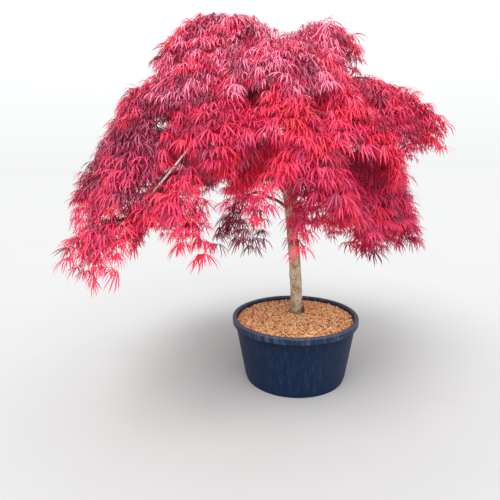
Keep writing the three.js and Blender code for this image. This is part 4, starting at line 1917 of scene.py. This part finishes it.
    def twig(self, mass: Mass, along: float, across: float) -> Arch | None:
        """Finds the longest twig that keeps to the mass's space.

        Args:
            mass: The mass.
            along: The share of the stem where the twig starts.
            across: How far it goes to one side or the other, as a share of half the mass's width.

        Returns:
            The twig, or None where even the shortest doesn't fit.
        """
        sk, stem = self.skeleton, self.skeleton.stems[mass.own]
        start = stem.at(along)
        start_pitch = self.start_pitch + mass.rng.uniform(-self.pitch_stray, self.pitch_stray)
        for reach in self.twig_reaches:
            end = sk.fan_point(mass.row, stem, min(1.0, along + self.forward * reach), across * reach)
            start_way, end_way = (pitched(start, end, pitch) for pitch in (start_pitch, self.twig_end_pitch))
            arch = Arch(start, start_way, end, end_way, sk.stem_handle)
            points = arch.samples(self.stem_step)[1:]
            if sk.clear(points, self.twig_room) and sk.owns(mass.own, points[: -self.mingled]):
                return arch
        return None

    def grow_sprays(self, mass: Mass, limb: Arch, cover: Cover) -> None:
        """Hangs sprays along a limb, on its sides and over it in turn, and one at its tip.

        Args:
            mass: The mass.
            limb: The twig, stem or bough.
            cover: How the sprays cover it.
        """
        reach = self.sprays_end - cover.first
        dense = limb.length * reach * mass.row.dense * cover.dense
        count = max(self.fewest_sprays, round(dense / self.spray_pitch))
        for k in range(count):
            stray = mass.rng.uniform(-self.spray_stray, self.spray_stray) if k else 0.0
            share = self.sprays_end - reach * (k + stray) / count
            self.grow_spray(mass, limb, share, cover.hands[k % len(cover.hands)], cover.painted_shade_odds)

    def grow_spray(self, mass: Mass, limb: Arch, share: float, hand: int, painted_shade_odds: float) -> None:
        """Grows one shoot that arches out and hangs, shorter where a limb is in its way.

        Args:
            mass: The mass.
            limb: The limb that it starts from.
            share: The share of the limb's length.
            hand: The side that it takes, or 0 for one that lies over the limb.
            painted_shade_odds: How often it takes the darker tints that paint shade.
        """
        habit, rng = BESIDE if hand else OVER, mass.rng
        start, way = limb.at(share), limb.way(share)
        outward = self.skeleton.outward(start)
        aside = unit(np.cross(way, UP)) * hand
        hanging = outward * self.hang_outward + UP * rng.uniform(*habit.fall) + way * self.hang_along
        hanging = unit(hanging + aside * rng.uniform(*self.hang_aside))
        start_way = way * self.start_along + aside * self.start_aside + UP * rng.uniform(*habit.rise)
        start_way = unit(start_way + outward * self.start_outward)
        for size in self.spray_sizes:
            length = self.spray_length * size * rng.uniform(*self.spray_lengths)
            end = start + hanging * length
            if self.skeleton.clear((end, (start + end) / 2 + UP * self.spray_rise), self.spray_room):
                shoot = (start, start_way, end, unit(hanging * self.end_along - UP * self.end_down))
                self.shoots.append(shoot)
                self.add_leaves(shoot, outward, self.pick_tint(mass, start, painted_shade_odds), rng)
                return

    def add_leaves(
        self, shoot: tuple[Array, Array, Array, Array], outward: Array, tint: int, rng: np.random.Generator
    ) -> None:
        """Sets a pair of leaves on a shoot and three at its tip.

        Args:
            shoot: The shoot's start and end, each with its direction.
            outward: The level direction away from the crown's axis.
            tint: The number of the shoot's tint.
            rng: The mass's source of numbers.
        """
        for spot, turns in self.leaf_nodes:
            t = np.array([[spot], [max(0.0, spot - self.node_step)]])
            node, before = bezier(*shoot, self.spray_handle, t)
            ahead = unit(node - before) + outward * self.leaf_outward
            heading = math.atan2(ahead[1], ahead[0])
            for turn in turns:
                way_round = heading + math.radians(turn + rng.uniform(-self.leaf_turn, self.leaf_turn))
                kind = int(rng.integers(0, len(self.shapes)))
                size = self.leaf_length * rng.uniform(*self.leaf_lengths)
                lean = rng.uniform(-self.leaf_lean, self.leaf_lean)
                self.leaves.append(Leaf(node, way_round, lean, size, kind, tint))

    def pick_tint(self, mass: Mass, place: Array, painted_shade_odds: float) -> int:
        """Deals a spray its tint, by its mass's tone, its place in the crown and chance.

        Args:
            mass: The mass.
            place: Where the spray starts.
            painted_shade_odds: How often it takes the darker tints that paint shade, outside the crown's
                shaded middle.

        Returns:
            The number of the tint.
        """
        away = math.dist(place[:2], self.skeleton.axis)
        deep = away < self.dim_reach and place[2] < self.dim_top
        hem = away > self.hem_reach and place[2] < self.hem_top
        # painted light: sprays on the crown's low outer hem take the brighter scarlet tints
        tone = Tone.SCARLET if hem else mass.row.tone
        # painted shade: sprays in the crown's shaded middle, and at the given odds elsewhere, take the darker
        # burgundy tints
        if mass.rng.random() < (self.dim_share if deep else painted_shade_odds):
            tone = Tone.BURGUNDY
        amounts = np.array([tint.amounts[tone.value] for tint in TINTS])
        return int(mass.rng.choice(len(TINTS), p=amounts / amounts.sum()))

    def build_wood(self) -> None:
        """The stems, twigs and shoots as one piece, in place of the foliage's solids."""
        spots = np.linspace(0, 1, self.wood_rings)
        lines, radii = [], []
        for points, (root, tip) in self.twigs:
            place = np.linspace(0, 1, len(points))
            lines.append(np.stack([np.interp(spots, place, axis) for axis in points.T], axis=1))
            radii.append(lerp(root, tip, spots))
        wood = tubes(np.array(lines), np.array(radii), self.wood_sides)
        ends = (np.array(part)[:, None] for part in zip(*self.shoots))
        t = np.linspace(0, 1, self.spray_rings)[None, :, None]
        shoots = bezier(*ends, self.spray_handle, t)
        thin = np.broadcast_to(lerp(self.spray_root, self.spray_tip, t[..., 0]), shoots.shape[:2])
        mesh = mesh_from(*joined([wood, tubes(shoots, thin, self.spray_sides)]))
        shade_smooth(mesh)
        published(mesh, "twigs", self.wood.make(), Slot.BARK, ["foliage_" + row.name for row in CROWN])

    def placed(self) -> list[list[tuple[Array, Array]]]:
        """Places every leaf that keeps inside the model's box.

        Returns:
            For each tint, the points of its leaves with the triangles of each kind.
        """
        root, heading, lean, size, kind, tint = (np.array(part) for part in zip(*self.leaves))
        low, high = (np.array(corner) for corner in self.box)
        groups: list[list[tuple[Array, Array]]] = [[] for _ in TINTS]
        turn = heading - np.pi / 2
        c, s, cl, sl = np.cos(turn), np.sin(turn), np.cos(lean), np.sin(lean)
        zero, one = np.zeros_like(c), np.ones_like(c)
        spin = np.array([[c, -s, zero], [s, c, zero], [zero, zero, one]]).transpose(2, 0, 1)
        roll = np.array([[cl, zero, sl], [zero, one, zero], [-sl, zero, cl]]).transpose(2, 0, 1)
        turns = spin @ roll
        for number, shape in enumerate(self.shapes):
            pick = np.flatnonzero(kind == number)
            copies = shape.copies(turns[pick], size[pick], root[pick])
            inside = (copies.min(axis=1) > low - self.proud) & (copies.max(axis=1) < high + self.proud)
            for shade in range(len(TINTS)):
                chosen = inside.all(axis=1) & (tint[pick] == shade)
                if chosen.any():
                    groups[shade].append((copies[chosen], shape.triangles))
        return groups

    def build_leaves(self) -> None:
        """The leaves, joined by tint into pieces that aren't too heavy."""
        for tint, groups in zip(TINTS, self.placed()):
            material = LeafFinish("leaf_" + tint.name, tint.colour).make()
            nodes = ["foliage_" + row.name for row in CROWN if MASS_SLOTS[row.tone] == tint.slot]
            total = sum(len(copies) * len(faces) for copies, faces in groups)
            parts = math.ceil(total / MOST_TRIANGLES)
            for part in range(parts):
                share = [(copies[part::parts], faces) for copies, faces in groups]
                name = f"leaves_{tint.name}" if parts == 1 else f"leaves_{tint.name}_{part + 1}"
                published(mesh_from(*joined(share)), name, material, tint.slot, nodes)

    def build(self) -> None:
        """Grows every mass in turn and builds the wood and the leaves."""
        for own, row in enumerate(CROWN):
            self.grow_mass(Mass(own, row, np.random.default_rng(self.seed + self.seed_step * own)))
        log.info("%d twigs, %d sprays, %d leaves", len(self.twigs), len(self.shoots), len(self.leaves))
        self.build_wood()
        self.build_leaves()


# Studio


class Lamp(NamedTuple):
    """A far lamp: its name, the way it shines, the angle that it seems wide and its strength."""

    name: str
    toward: tuple[float, float, float]
    spread: float
    strength: float


@dataclass
class Studio:
    """A pale floor, soft light and the camera.

    horizon and zenith are the sky's light level with the eye and overhead.
    """

    camera_place: tuple[float, float, float] = (-0.3447, -3.1828, 1.6594)
    camera_down: float = 11.392
    camera_roll: float = -0.840
    lens: float = 30.672
    floor_size: float = 240.0
    floor_around: int = 64
    horizon: Colour = (0.912, 0.921, 0.922)
    zenith: Colour = (1.42, 1.44, 1.47)
    lamps: tuple[Lamp, ...] = (
        Lamp("key", (0.3, 0.5, -1.0), 40, 2.25),
        Lamp("front_fill", (-0.25, 1.0, -0.3), 60, 1.1),
    )

    def build_camera(self) -> None:
        """The camera, at the height of someone who stands in front of the plant."""
        data = bpy.data.cameras.new("camera")
        data.lens = self.lens
        camera = in_scene("camera", data)
        look = Matrix.Rotation(math.radians(90 - self.camera_down), 4, "X")
        roll = Matrix.Rotation(math.radians(self.camera_roll), 4, "Z")
        camera.matrix_world = Matrix.Translation(self.camera_place) @ look @ roll
        bpy.context.scene.camera = camera

    def build_floor(self) -> None:
        """The floor that the container stands on."""
        form = bmesh.new()
        radius = self.floor_size / 2
        bmesh.ops.create_circle(form, cap_ends=True, segments=self.floor_around, radius=radius)
        mesh = bpy.data.meshes.new("floor")
        form.to_mesh(mesh)
        form.free()
        mesh.materials.append(FloorFinish().make())
        in_scene("floor", mesh)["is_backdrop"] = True

    def build_lamps(self) -> None:
        """The lamps, which shine the same way everywhere."""
        for lamp in self.lamps:
            data = bpy.data.lights.new(lamp.name, "SUN")
            data.angle = math.radians(lamp.spread)
            data.energy = lamp.strength
            placed = in_scene(lamp.name, data)
            placed.rotation_mode = "QUATERNION"
            placed.rotation_quaternion = Vector(lamp.toward).to_track_quat("-Z", "Y")

    def build_sky(self) -> None:
        """An even sky, a little brighter overhead."""
        world = bpy.data.worlds.new("studio")
        world.use_nodes = True
        sky = Nodes(world.node_tree)
        colour = sky.mix(sky.axes("Generated")[2], self.horizon, self.zenith)
        sky.feed(sky.tree.nodes["Background"].inputs["Color"], colour)
        bpy.context.scene.world = world

    def build(self) -> None:
        """Everything round the plant."""
        self.build_camera()
        self.build_floor()
        self.build_sky()
        self.build_lamps()
        bpy.context.scene.view_settings.view_transform = "Standard"


def main() -> None:
    """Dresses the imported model."""
    logging.basicConfig(level=logging.INFO, format="%(name)s: %(message)s")
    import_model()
    cad_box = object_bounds()
    Studio().build()
    Container().build()
    TopDressing().build()
    skeleton = Skeleton()
    Limbs(skeleton).build()
    Foliage(skeleton, cad_box).build()


if __name__ == "__main__":
    main()
